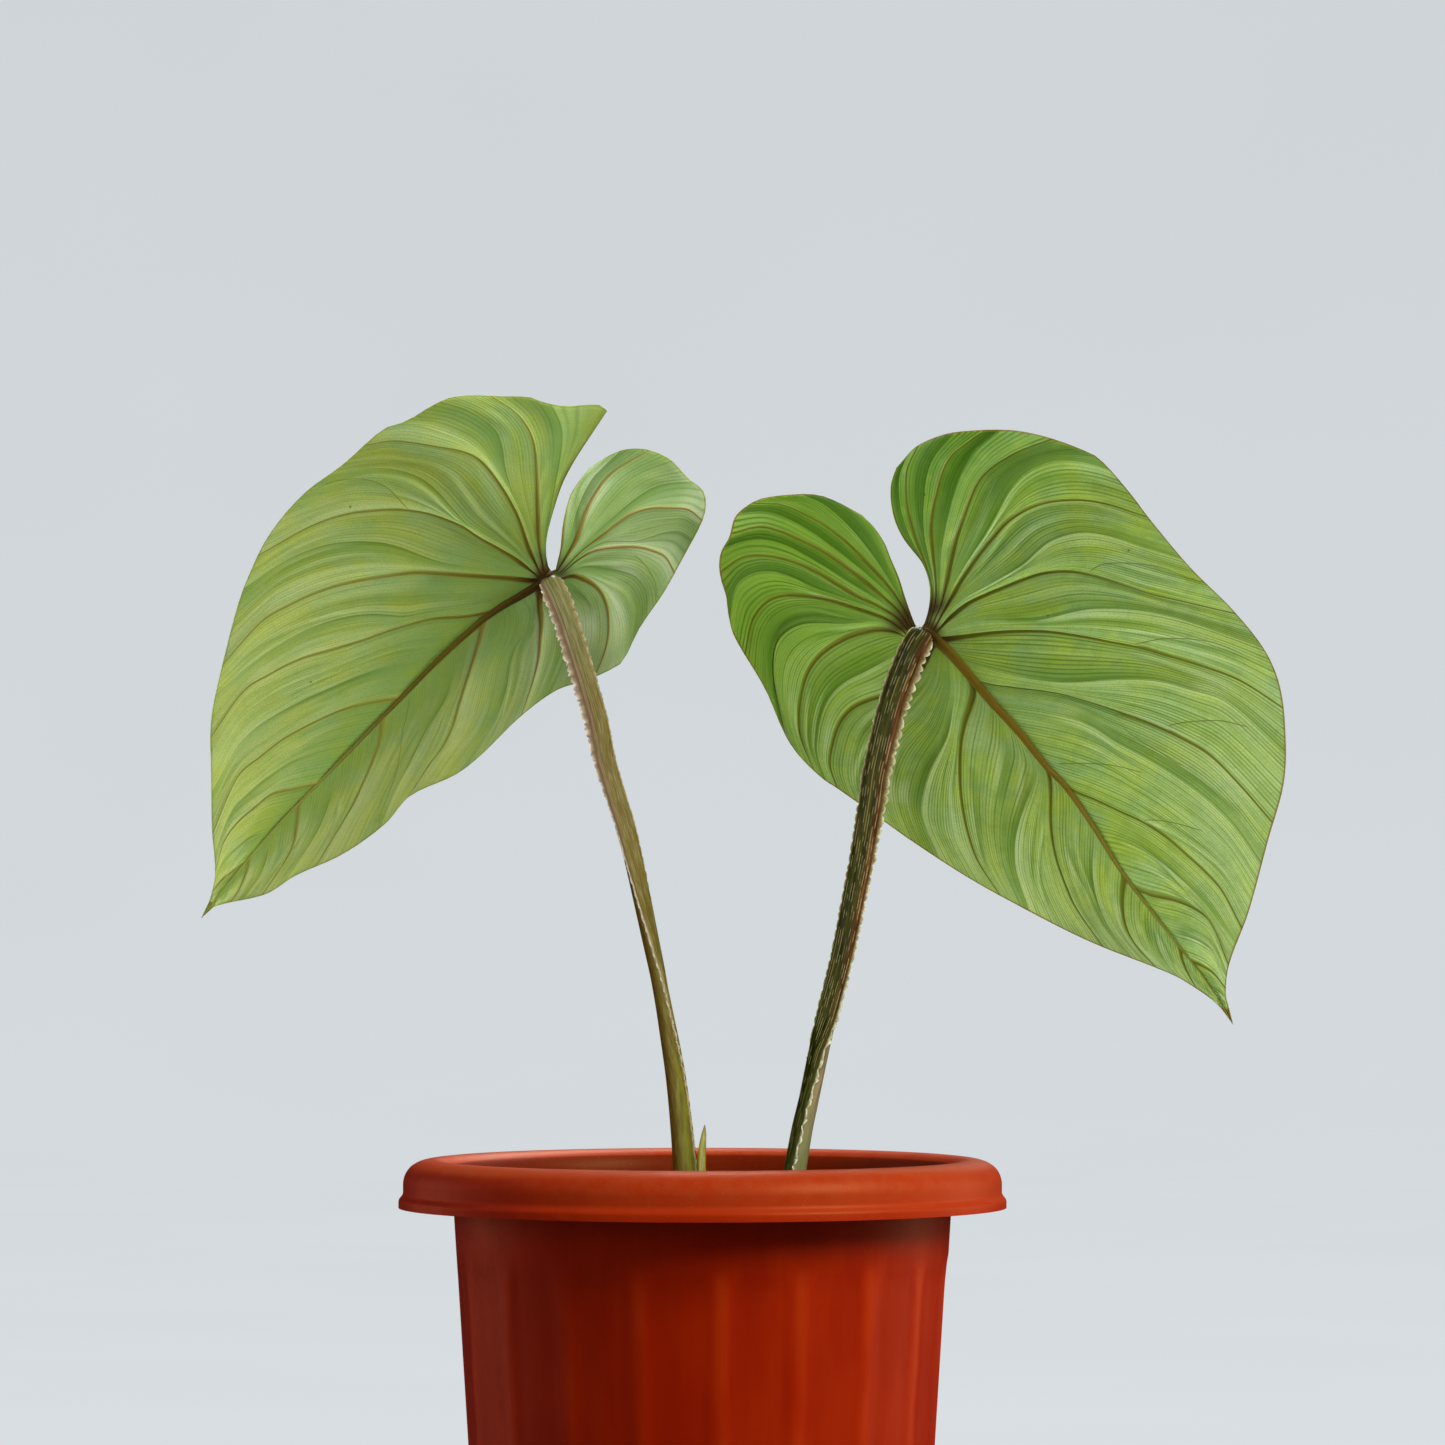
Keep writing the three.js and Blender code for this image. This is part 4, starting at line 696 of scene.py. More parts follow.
LEFT_LEAF = SimpleNamespace(
    rib=(1.6, 0.62),
    attach=(547, 577),
    tip=(201, 918.5),
    wide_side="left",
    wide=(0.05, 0.0016),
    narrow=(1.9, 0.008),
    spine=[(551, 571), (547, 577), (541, 583), (520, 596), (500, 607.5), (480, 622), (440, 658), (400, 699),
           (340, 761), (280, 823), (240, 869), (212, 904.5), (201, 918.5)],
    wide_half=SimpleNamespace(
        margin=[(607, 411), (603, 405.5), (588, 404.5), (566, 406), (543, 402), (530, 397), (500, 396),
                (469, 395), (448, 398), (429, 407), (406, 421), (383, 429), (343, 464), (302, 495),
                (268, 536), (247, 579), (237, 607), (221, 670), (211, 720), (211, 774), (212, 830),
                (215, 874), (209, 902), (201, 918.5)],
        lines=[
            ("vein", [(549, 570), (546, 554), (547, 536), (553, 512), (562, 485), (574, 462), (589, 439),
                      (606, 414)]),
            ("crease", [(547, 572), (545, 545), (550, 512), (557, 475), (562, 445), (561, 425), (551, 404)]),
            ("vein", [(544, 573), (540, 550), (538, 520), (537, 480), (535, 450), (530, 432), (516, 413),
                      (490, 396)]),
            ("crease", [(543, 574), (534, 547), (523, 517), (512, 492), (505, 468), (502, 447), (495, 430),
                        (470, 412), (440, 402)]),
            ("vein", [(541, 575), (530, 548), (518, 515), (505, 491), (490, 470), (478, 458), (462, 451),
                      (440, 447), (415, 443), (392, 441), (364, 446)]),
            ("crease", [(540, 576), (515, 553), (490, 538), (467, 524), (452, 508), (438, 492), (422, 479),
                        (402, 471), (380, 468), (355, 470), (328, 475)]),
            ("vein", [(539, 577), (520, 560), (500, 548), (480, 537), (463, 526), (447, 519), (425, 512),
                      (400, 509), (375, 510), (345, 514), (310, 526), (256, 556)]),
            ("crease", [(538, 578), (505, 572), (470, 567), (440, 562), (420, 555), (402, 548), (382, 543),
                        (355, 542), (325, 546), (290, 560), (246, 590)]),
            ("vein", [(538, 579), (510, 577), (470, 575), (440, 573), (415, 572), (390, 575), (360, 580),
                      (335, 586), (310, 595), (285, 607), (262, 621), (222, 666)]),
            ("crease", [(528, 590), (490, 602), (455, 608), (425, 612), (405, 616), (390, 615), (370, 614),
                        (345, 617), (315, 626), (285, 640), (255, 660), (215, 695)]),
            ("vein", [(494, 611), (465, 616), (435, 618), (410, 624), (385, 632), (360, 641), (330, 650),
                      (300, 659), (270, 674), (245, 690), (211, 738)]),
            ("vein", [(402, 697), (375, 701), (345, 709), (315, 722), (285, 738), (260, 757), (238, 776),
                      (211, 835)]),
            ("vein", [(318, 783), (295, 788), (272, 794), (255, 807), (237, 823), (224, 842), (215, 872)]),
            ("vein", [(245, 862), (232, 872), (221, 882), (214, 892)]),
            ("vein", [(214, 902), (211.5, 903), (209, 902)]),
        ],
        forks=[
            [(425, 513), (410, 510), (400, 500), (390, 490), (375, 483), (355, 481), (335, 485), (315, 495)],
        ],
    ),
    narrow_half=SimpleNamespace(
        margin=[(589, 468), (604, 458), (622, 450), (641, 448.5), (656, 452), (671, 460), (689, 479),
                (702, 489), (706, 501), (703, 519), (685, 554), (664, 592), (639, 629), (623, 661),
                (614, 668), (585, 681), (557, 690), (520, 717), (480, 756), (455, 775), (410, 796),
                (385, 824), (343, 854), (295, 876), (266, 894), (214, 907), (201, 918.5)],
        lines=[
            ("vein", [(555, 572), (557, 563), (560, 550), (563, 523), (570, 496), (578, 483), (589, 469)]),
            ("vein", [(557, 571), (566, 556), (576, 538), (584, 515), (592, 498), (602, 483), (613, 472),
                      (627, 463), (648, 451)]),
            ("crease", [(559, 572), (580, 549), (600, 529), (617, 514), (632, 501), (648, 490), (663, 484),
                        (692, 481)]),
            ("vein", [(560, 573), (585, 548), (602, 535), (620, 521), (633, 513), (650, 508), (670, 508),
                      (688, 510), (702, 521)]),
            ("crease", [(561, 574), (579, 556), (594, 546), (613, 541), (635, 541), (650, 537), (665, 532),
                        (680, 531), (694, 539)]),
            ("vein", [(561, 575), (578, 560), (593, 551), (612, 547), (635, 546), (652, 550), (664, 556),
                      (673, 572)]),
            ("crease", [(562, 576), (582, 567), (605, 568), (622, 571), (636, 577), (645, 591), (646, 615)]),
            ("vein", [(562, 578), (574, 575), (585, 579), (595, 585), (602, 593), (607, 605), (609, 620),
                      (608, 640), (603, 658), (595, 677)]),
            ("vein", [(541, 590), (539, 605), (541, 622), (540, 640), (538, 660), (533, 680), (521, 716)]),
            ("crease", [(520, 598), (530, 612), (526, 632), (515, 648), (510, 665), (507, 685), (501, 706),
                        (493, 726), (466, 767)]),
            ("vein", [(484, 620), (479, 640), (473, 660), (466, 682), (459, 705), (452, 728), (442, 748),
                      (430, 764), (408, 798)]),
            ("crease", [(455, 645), (453, 672), (446, 697), (437, 713), (428, 727), (419, 745), (409, 765),
                        (396, 790), (380, 828)]),
            ("vein", [(383, 718), (380, 740), (372, 762), (363, 782), (353, 803), (341, 823), (314, 865)]),
            ("vein", [(300, 802), (297, 825), (294, 842), (287, 858), (262, 895)]),
            ("vein", [(250, 858), (246, 873), (239, 889), (230, 903)]),
            ("vein", [(214, 903), (213.5, 905), (213, 907.5)]),
        ],
        forks=[
            [(410, 698), (408, 710), (403, 730), (400, 750), (396, 770), (385, 800), (378, 820)],
            [(635, 555), (645, 565), (653, 580), (655, 595)],
        ],
    ),
)

RIGHT_LEAF = SimpleNamespace(
    rib=(1.95, 0.78),
    attach=(927, 632),
    tip=(1233, 1025),
    wide_side="right",
    wide=(0.05, 0.0014),
    narrow=(1.25, 0.003),
    spine=[(920, 629), (927, 632), (934, 638), (950, 653), (970, 676), (990, 700), (1018, 731), (1046, 766),
           (1065, 786), (1091, 823), (1119, 868), (1145, 903), (1173, 939), (1201, 974), (1220, 1002),
           (1233, 1025)],
    wide_half=SimpleNamespace(
        margin=[(896, 468), (903, 460), (914, 448), (928, 440), (949, 433), (977, 430), (1000, 429.5),
                (1021, 431), (1051, 438), (1086, 451), (1100, 459), (1131, 494), (1149, 518), (1190, 567),
                (1233, 610), (1264, 649), (1279, 683), (1285, 726), (1284, 781), (1268, 840), (1248, 913),
                (1229, 964), (1225.5, 993), (1229, 1009), (1233, 1025)],
        lines=[
            ("vein", [(923, 627), (928, 611), (930, 594), (928, 578), (922, 563), (912, 550), (903, 538),
                      (895, 521), (891, 502), (891, 484), (896, 468)]),
            ("vein", [(926, 626), (931, 605), (931, 585), (925, 565), (917, 545), (911, 525), (907, 505),
                      (906, 485), (908, 468), (919, 446)]),
            ("vein", [(929, 625), (935, 600), (935, 580), (932, 555), (930, 530), (932, 510), (936, 493),
                      (941, 474), (949, 458), (962, 446), (985, 430)]),
            ("crease", [(930, 626), (938, 602), (940, 580), (941, 555), (945, 530), (951, 505), (957, 485),
                        (966, 465), (976, 450), (1000, 430)]),
            ("vein", [(931, 627), (941, 603), (946, 580), (951, 558), (956, 537), (963, 517), (970, 498),
                      (978, 481), (990, 468), (1005, 458), (1020, 450), (1052, 438)]),
            ("crease", [(932, 628), (950, 592), (967, 562), (985, 535), (999, 510), (1010, 490),
                        (1024, 474), (1042, 464), (1063, 460), (1090, 463), (1112, 470)]),
            ("vein", [(934, 629), (946, 605), (960, 580), (976, 557), (992, 537), (1007, 521), (1024, 510),
                      (1042, 503), (1062, 500), (1085, 500), (1108, 504), (1130, 511), (1148, 517)]),
            ("crease", [(935, 631), (957, 604), (982, 589), (1007, 575), (1024, 564), (1036, 553),
                        (1048, 543), (1065, 536), (1085, 533), (1110, 537), (1140, 547), (1182, 560)]),
            ("vein", [(936, 632), (950, 615), (967, 602), (986, 593), (1006, 585), (1024, 578), (1045, 572),
                      (1070, 571), (1095, 576), (1120, 584), (1150, 594), (1180, 601), (1236, 614)]),
            ("crease", [(938, 634), (960, 625), (985, 621), (1015, 621), (1040, 620), (1058, 616),
                        (1073, 612), (1092, 609), (1120, 609), (1150, 612), (1185, 620), (1262, 646)]),
            ("vein", [(940, 637), (960, 635), (985, 632), (1010, 630), (1040, 630), (1060, 632),
                      (1085, 636), (1110, 641), (1140, 647), (1170, 656), (1200, 665), (1240, 680),
                      (1284, 708)]),
            ("crease", [(955, 658), (985, 668), (1020, 677), (1055, 682), (1080, 682), (1105, 680),
                        (1135, 679), (1160, 681), (1190, 689), (1225, 701), (1285, 755)]),
            ("vein", [(974, 680), (990, 684), (1012, 687), (1037, 690), (1062, 694), (1090, 702),
                      (1120, 712), (1150, 723), (1180, 737), (1210, 755), (1240, 785), (1274, 824)]),
            ("crease", [(995, 705), (1020, 708), (1045, 712), (1075, 719), (1095, 728), (1115, 741),
                        (1145, 757), (1175, 775), (1205, 797), (1235, 826), (1263, 866)]),
            ("vein", [(1064, 784), (1078, 792), (1095, 799), (1118, 810), (1142, 821), (1165, 836),
                      (1185, 853), (1205, 871), (1222, 890), (1243, 929)]),
            ("crease", [(1098, 834), (1118, 838), (1143, 849), (1168, 868), (1192, 890), (1210, 911),
                        (1235, 947)]),
            ("vein", [(1134, 887), (1150, 894), (1172, 899), (1192, 907), (1209, 921), (1228, 966)]),
            ("vein", [(1190, 960), (1203, 966), (1214, 974), (1225.5, 988)]),
            ("vein", [(1225.5, 1011), (1227.3, 1010.4), (1229.5, 1010)]),
        ],
        forks=[
            [(1130, 645), (1145, 642), (1160, 639), (1180, 639), (1200, 641), (1220, 646), (1240, 655)],
            [(1165, 727), (1180, 723), (1200, 721), (1220, 721), (1245, 727)],
            [(1118, 715), (1122, 725), (1130, 733), (1140, 740), (1160, 752), (1180, 765)],
            [(1090, 571), (1100, 565), (1115, 563), (1140, 564), (1160, 567), (1180, 575), (1200, 582)],
            [(1060, 763), (1080, 763), (1110, 765), (1140, 772)],
            [(1142, 820), (1160, 820), (1180, 824), (1200, 830)],
        ],
    ),
    narrow_half=SimpleNamespace(
        margin=[(862, 515), (838, 502), (819, 495), (798, 494), (763, 498), (748, 505), (735, 517),
                (729, 537), (721, 552), (719, 565), (721, 580), (726, 596), (728, 613), (734, 636),
                (765, 689), (785, 735), (800, 757), (823, 779), (838, 789), (882, 820), (910, 840),
                (962, 874), (1004, 898), (1086, 940), (1173, 975), (1195, 988), (1212, 1000), (1223, 1011),
                (1233, 1025)],
        lines=[
            ("vein", [(917, 629), (912, 617), (905, 597), (899, 578), (891, 559), (884, 542), (873, 526),
                      (862, 515)]),
            ("vein", [(914, 630), (902, 606), (886, 583), (867, 562), (846, 541), (826, 526), (805, 514),
                      (783, 505), (752, 503)]),
            ("crease", [(913, 631), (900, 608), (882, 588), (858, 567), (834, 548), (810, 531), (788, 519),
                        (765, 512), (738, 514)]),
            ("vein", [(912, 632), (898, 611), (880, 594), (862, 578), (843, 564), (822, 550), (800, 539),
                      (779, 530), (760, 526), (731, 533)]),
            ("crease", [(911, 633), (898, 615), (878, 600), (855, 586), (830, 570), (805, 555), (785, 545),
                        (765, 540), (748, 541), (724, 549)]),
            ("vein", [(910, 634), (897, 618), (878, 606), (858, 596), (838, 584), (818, 572), (798, 563),
                      (777, 557), (757, 555), (740, 558), (720, 572)]),
            ("crease", [(909, 635), (897, 621), (878, 611), (857, 603), (835, 595), (812, 587), (793, 578),
                        (773, 572), (752, 574), (736, 586), (729, 622)]),
            ("vein", [(908, 636), (896, 625), (880, 616), (858, 608), (835, 601), (810, 596), (787, 595),
                      (770, 599), (758, 609), (750, 623), (743, 655)]),
            ("crease", [(907, 637), (895, 628), (878, 622), (860, 623), (840, 624), (820, 623), (800, 625),
                        (785, 633), (776, 645), (773, 663), (775, 687), (786, 737)]),
            ("vein", [(908, 639), (895, 632), (880, 629), (862, 632), (845, 638), (828, 648), (815, 660),
                      (806, 675), (801, 693), (798, 716), (800, 738), (814, 772)]),
            ("vein", [(930, 640), (926, 655), (918, 671), (905, 684), (888, 694), (868, 700), (852, 708),
                      (840, 722), (833, 742), (830, 765), (838, 789)]),
            ("crease", [(950, 655), (955, 690), (952, 715), (948, 735), (940, 752), (931, 769), (924, 790),
                        (922, 815), (940, 860)]),
            ("vein", [(968, 676), (973, 690), (970, 704), (964, 722), (960, 742), (959, 765), (960, 790),
                      (963, 812), (969, 838), (978, 862), (1000, 896)]),
            ("crease", [(1020, 735), (1036, 768), (1033, 785), (1025, 806), (1018, 828), (1015, 850),
                        (1017, 872), (1030, 912)]),
            ("vein", [(1044, 764), (1049, 778), (1050, 797), (1050, 818), (1052, 840), (1057, 862),
                      (1065, 884), (1076, 908), (1104, 948)]),
            ("vein", [(1124, 875), (1122, 892), (1122, 910), (1126, 928), (1134, 943), (1156, 968)]),
            ("vein", [(1179, 947), (1182, 960), (1187, 972), (1196, 988.5)]),
            ("vein", [(1224, 1010), (1223.4, 1011), (1222.6, 1010.6)]),
        ],
        forks=[],
    ),
)


# Leaf finishes

# Light passes through a blade: the mean path in the tissue is longer than the blade is thick.
TRANSLUCENT = {"Subsurface_Weight": 0.4, "Subsurface_Radius": (1.0, 1.0, 0.35), "Subsurface_Scale": 0.0015}
KNOB_BROWN = "3A1A10"


def specks(m, base, spots):
    """Small dark spots of the front view, each [x, y, radius in front points]. Depth widens the view a
    little, so a spot lies within a few points of its place."""
    where = m.place()
    for x, y, radius in spots:
        px, pz = front_point((x, y))
        dx, dz = m.axis(where, 0) - px, m.axis(where, 2) - pz
        away = m.maths("SQRT", dx * dx + dz * dz)
        size = radius * FRONT_POINT
        base = m.mix(base, "2A200C", away.step(size, size * 0.4) * 0.6)
    return base


def fine_lines(m, stripe, along, crowd):
    """The lines that run with the veins, each with its own strength, which changes slowly on its way. They
    fade where they crowd together."""
    ridge = m.wave(stripe) ** 2.5 * crowd.step(0.1, 0.4)
    chance = m.noise(1, 0, m.triple(X=m.maths("FLOOR", stripe) * 7.3, Y=along * 1.3))
    return ridge * (chance.step(0.35, 0.66) * 0.75 + 0.25)


def underside(name, look):
    """The pale side of a leaf: brown to olive veins, painted shade along one side of each crease and a
    painted highlight along the other, ripples that run with the veins with a flank of painted shade and a
    flank of painted highlight, painted sheen streaks, painted shade next to the midrib, patches and streaks
    of cooler and warmer green, fine lines, small cells and a thin coloured margin."""
    m = Finish(name, 0.45, 0.2, **TRANSLUCENT)
    fall, after, stripe, crowd, along = m.fields("fall", "after", "stripe", "crowd", "along")
    knob, edge, vein, fork, reach = m.fields("knob", "edge", "vein", "fork", "reach")

    def grain(across, lengthwise, detail=2):
        """Noise from 0 to 1 that is drawn out along the veins."""
        return m.vary(1, m.triple(X=stripe * across, Y=along * lengthwise), detail)

    patches = m.vary(13, detail=3)
    streaks = grain(0.45, 2.2, 3)
    lobes = reach.step(0.04, -0.24)
    base = m.mix(look.cool, look.warm, patches * 0.6 + grain(0.2, 2.0) * 0.5 - 0.05)
    base = m.mix(base, look.light, reach.step(0.1, 0.7) * along.step(0.2, 0.9) * 0.45)
    base = m.mix(base, look.deep, lobes * look.lobe * (streaks * 0.3 + 0.7))
    base = m.mix(base, look.deep, (1 - streaks).step(0.3, 0.9) * 0.22)
    # Painted sheen: pale streaks along the veins, outside the lobes.
    base = m.mix(base, look.pale, streaks.step(0.55, 1.0) * (1 - lobes) * 0.12)
    blots = m.vary(5.5, detail=2)
    base = m.mix(base, look.deep, blots.step(0.6, 1.0) * look.blots)
    base = m.mix(base, look.warm, (1 - blots).step(0.6, 1.0) * look.blots)
    # Painted shade and painted highlight: a crease is deep green on its shaded side and pale on its lit side,
    # each over a part of its way.
    uneven = (grain(0.04, 1.2) * 0.7 + 0.3) * along.step(0.03, 0.35)
    shaded_side = after if look.dark_after else 1 - after
    lit_side = (1 - fall).step(0.4, 1.0) * after if look.dark_after else fall.step(0.7, 1.0) * after
    narrow = m.field("narrow") * reach.step(look.narrow_end, 0.0)
    base = m.mix(base, look.narrow, narrow * look.narrow_share)
    # Painted sheen: whitish streaks along the veins of the narrow half towards its lobe, with deeper green
    # between them.
    sheen = grain(0.09, 1.4, 1)
    base = m.mix(base, look.sheen, narrow * sheen.step(0.5, 1.0) * look.sheen_share)
    base = m.mix(base, look.deep, narrow * (1 - sheen).step(0.5, 1.0) * look.sheen_share * 0.5)
    # Painted shade on the shaded side of each crease.
    base = m.mix(base, look.deep, fall.step(0.35, 0.97) * shaded_side * uneven * look.fold)
    # In the lobes each rib of the blade is deep green on the side of the next vein: painted shade on that
    # facet of the fold.
    base = m.mix(base, look.lobe_fold, fall.step(0.05, 0.6) * shaded_side * lobes * look.lobe * 0.75)
    # Painted highlight on the lit side of each crease.
    base = m.mix(base, look.pale, lit_side * uneven * (1 - lobes) * 0.32)
    # Ripples that run with the veins: painted shade on one flank and a painted highlight on the other; the
    # same ripples also drive the bump.
    phase = stripe * 0.13 + grain(0.06, 1.2, 0) * 1.2
    part = grain(0.12, 1.6, 1).step(0.35, 0.9) * along.step(0.04, 0.3) * along.step(1.0, 0.75)
    ripple = m.wave(phase)
    flank = m.wave(phase + 0.27).step(0.5, 1.0) * part
    base = m.mix(base, look.deep, ripple.step(0.4, 1.0) * part * look.ripple)
    base = m.mix(base, look.pale, flank * (1 - lobes) * look.ripple * 0.7)
    # Painted shade: next to the midrib the green is deeper between the veins.
    base = m.mix(base, look.deep, along.step(0.5, 0.03) * look.inner * (streaks * 0.3 + 0.7))
    lines = fine_lines(m, stripe, along, crowd)
    line_colour = m.mix(look.line, look.lobe_fold, lobes)
    base = m.mix(base, line_colour, lines * look.lines)
    # Painted shade: a dark line along each crease on its shaded side.
    crease = fall.step(0.88, 1.0) * shaded_side * along.step(0.15, 0.35) * along.step(0.85, 0.5)
    base = m.mix(base, line_colour, crease * 0.6)
    cells = m.node("TexVoronoi", {"feature": "DISTANCE_TO_EDGE"}, {"Vector": m.place(), "Scale": 1.15})
    base = m.mix(base, look.deep, cells.step(0.16, 0.02) * 0.22)
    base = m.mix(base, look.fork, fork.step(0.1, 0.7) * 0.75)
    vein_colour = m.mix("40200E", look.vein_near, knob.step(3, look.vein_dark))
    vein_colour = m.mix(vein_colour, look.vein_far, knob.step(look.vein_dark, 60))
    vein_colour = m.mix(vein_colour, "96804A", narrow * look.vein_pale * knob.step(8, 30))
    base = m.mix(base, look.halo, vein.step(0.0, 0.3) * 0.45)
    base = m.mix(base, vein_colour, vein.step(0.0, look.vein_width) * 0.92)
    base = m.mix(base, vein_colour, vein.step(0.0, 0.25) * knob.step(22, 8) * 0.8)
    base = m.mix(base, KNOB_BROWN, knob.step(6.5, 2.4) * 0.85)
    # On both sides of the notch, the roots of the lobes are dark.
    above = m.axis(m.place(), 2).step(look.knob_level - 2, look.knob_level + 1)
    roots = knob.step(look.root_end, look.root_end * 0.45) * reach.step(0.0, -0.028) * above
    base = m.mix(base, "2C1206", roots * look.root_share)
    base = m.mix(base, look.margin, edge.step(0.9, 0.45) * look.margin_share)
    base = specks(m, base, look.spots)
    m.bump(ripple * part * 0.8 + streaks * 0.1 - lines * 0.12 + cells * 0.05 + vein * 0.08, 0.8, 0.45)
    return m.done(base, 0.42 + m.noise(1.8, 2) * 0.16)


def upperside(name):
    """The glossier, deeper green side, with sunken pale veins."""
    m = Finish(name, 0.35, 0.5, **TRANSLUCENT)
    vein, fork, stripe, crowd, edge, fall = m.fields("vein", "fork", "stripe", "crowd", "edge", "fall")
    base = m.mix("35611F", "4F7F2A", m.vary(16) * 0.6 + fall * 0.4)
    lines = m.wave(stripe) ** 5 * crowd.step(0.2, 0.75)
    base = m.mix(base, "2C5218", lines * 0.3)
    base = m.mix(base, "8FA552", m.most(vein * 0.8, fork * 0.4))
    base = m.mix(base, "6E5A2A", edge.step(0.7, 0.25) * 0.6)
    m.bump(m.noise(0.6, 3) * 0.6 - lines * 0.4, 0.12, 0.7)
    return m.done(base, 0.28 + m.noise(2.5, 2) * 0.16)


def rib(name, look):
    """The midrib: brown with olive flanks, darker towards the knob, and a pale line on the upper face."""
    m = Finish(name, 0.5, 0.2)
    side, knob, upper = m.fields("side", "knob", "upper")
    streaks = m.vary(0.8, m.triple(X=side * 4.0, Y=knob * 0.12), 3)
    base = m.mix(look.rib, look.rib_light, streaks * 0.6)
    base = m.mix(base, look.rib_edge, (side * side).step(0.25, 0.85) * 0.8)
    base = m.mix(base, look.rib_tip, knob.step(50, 150) * 0.9)
    base = m.mix(base, "34180A", knob.step(look.rib_dark, 2) * 0.8)
    base = m.mix(base, "A3B067", upper)
    m.bump(streaks, 0.1, 0.5)
    return m.done(base)


# Colours, shares of them, distances from the knob and its height in millimetres, and spots as front points
# The shares fold, ripple and inner set painted shade, lobe_fold is the colour of painted shade in the lobes
# and of their fine lines, pale and sheen are colours of painted highlights, and the after flag tells on which
# side of a crease the painted shade lies.
LEFT_LOOK = SimpleNamespace(
    cool="94AC70", warm="A6B04E", light="B4BC6C", pale="C8D29C", deep="5E842A", line="52701E", halo="96923A",
    narrow="98B27C", narrow_share=0.6, narrow_end=0.4, sheen="C4D0AA", sheen_share=0.6, lobe_fold="3E660E",
    fork="6E7220", vein_near="60560E", vein_far="7C8032", vein_pale=0.6, vein_width=0.72, vein_dark=13,
    margin="7C7A34", margin_share=0.5, lobe=0.3, fold=0.6, inner=0.65, lines=0.36, ripple=0.28, blots=0.07,
    dark_after=True, rib="54480A", rib_light="6E601A", rib_edge="6E6A20", rib_tip="98A24A", rib_dark=40,
    root_end=11, root_share=0.6, knob_level=360, spots=[(305, 680, 1.6), (349, 506, 1.6)])
RIGHT_LOOK = SimpleNamespace(
    cool="86A468", warm="98AE44", light="A8BA7E", pale="BECC98", deep="4A720C", line="3E5E14", halo="70741C",
    narrow="6E8E2C", narrow_share=0.6, narrow_end=0.2, sheen="A8BE74", sheen_share=0.12, lobe_fold="264C04",
    fork="50580E", vein_near="4E500A", vein_far="586010", vein_pale=0, vein_width=0.38, vein_dark=14,
    margin="6A4A1C", margin_share=0.75, lobe=0.88, fold=0.65, inner=0.15, lines=0.74, ripple=0.45, blots=0.13,
    dark_after=False, rib="5E4A0C", rib_light="7A6418", rib_edge="686810", rib_tip="6C722A", rib_dark=14,
    root_end=18, root_share=0.92, knob_level=342, spots=[(923, 497, 1.6), (1129, 550, 1.6), (1049, 615, 1.4)])


def make_leaf(side, leaf, look):
    """A blade of two halves, with an underside and an upper side, and its midrib."""
    spine = Line(front_point(leaf.spine))
    lie = Lie(leaf, spine)
    node = "blade_" + side
    blade = merged([blade_half(leaf, half, spine, lie) for half in (leaf.wide_half, leaf.narrow_half)])
    # Each half lists its underside, its upper face and its wall.
    finishes = [np.full(len(block), k % 3 == 1) for k, block in enumerate(blade[1])]
    make_piece("leaf_" + side, node, blade, [underside("leaf_under_" + side, look), UPPER], finishes)
    make_piece("midrib_" + side, node, midrib(leaf, spine, lie), [rib("midrib_" + side, look)])
    return lie


UPPER = upperside("leaf_upper")
left_lie = make_leaf("left", LEFT_LEAF, LEFT_LOOK)
right_lie = make_leaf("right", RIGHT_LEAF, RIGHT_LOOK)


# Rhizome

# Stations are [x, y, z, radius].
RHIZOME = [(-36, 3, 143, 5.5), (-28, 2, 145.5, 7.6), (-18, 1, 146, 7.2), (-5, 0, 146.5, 8.4),
           (8, 0, 146.5, 7.4), (26, 0, 146.5, 8.4), (35, -1, 147, 6.6), (43, -2, 147.5, 4.2)]
ROOTS = [
    [(-22, -5, 145, 1.6), (-25, -13, 147.5, 1.4), (-27, -21, 144, 1.3), (-28, -24, 132, 1.1)],
    [(-12, 6, 145, 1.8), (-15, 14, 148, 1.5), (-19, 23, 144, 1.4), (-21, 27, 130, 1.2)],
    [(4, 6, 145, 1.6), (6, 13, 147.5, 1.4), (9, 20, 143, 1.3), (10, 22, 130, 1.1)],
    [(14, -5, 145, 1.8), (16, -12, 148, 1.5), (19, -21, 144, 1.4), (20, -25, 131, 1.2)],
    [(30, 6, 145, 1.6), (33, 13, 147, 1.4), (38, 21, 142, 1.3), (40, 24, 131, 1.1)],
]
NODE_RINGS = [-31, -24.5, -17, -9.5, -1, 9.5, 17.5, 25, 32, 37.5]
RHIZOME_GRID, ROOT_GRID = (220, 48), (60, 14)
BLUNT_LENGTH = 3


def rhizome_top(x, y):
    """Height of the rhizome's upper side: its middle's height plus sqrt(radius^2 - distance^2)."""
    middle, level, radius = readings(RHIZOME, x)
    across = np.clip((y - middle) / radius, -0.95, 0.95)
    return level + radius * np.sqrt(1 - across**2)


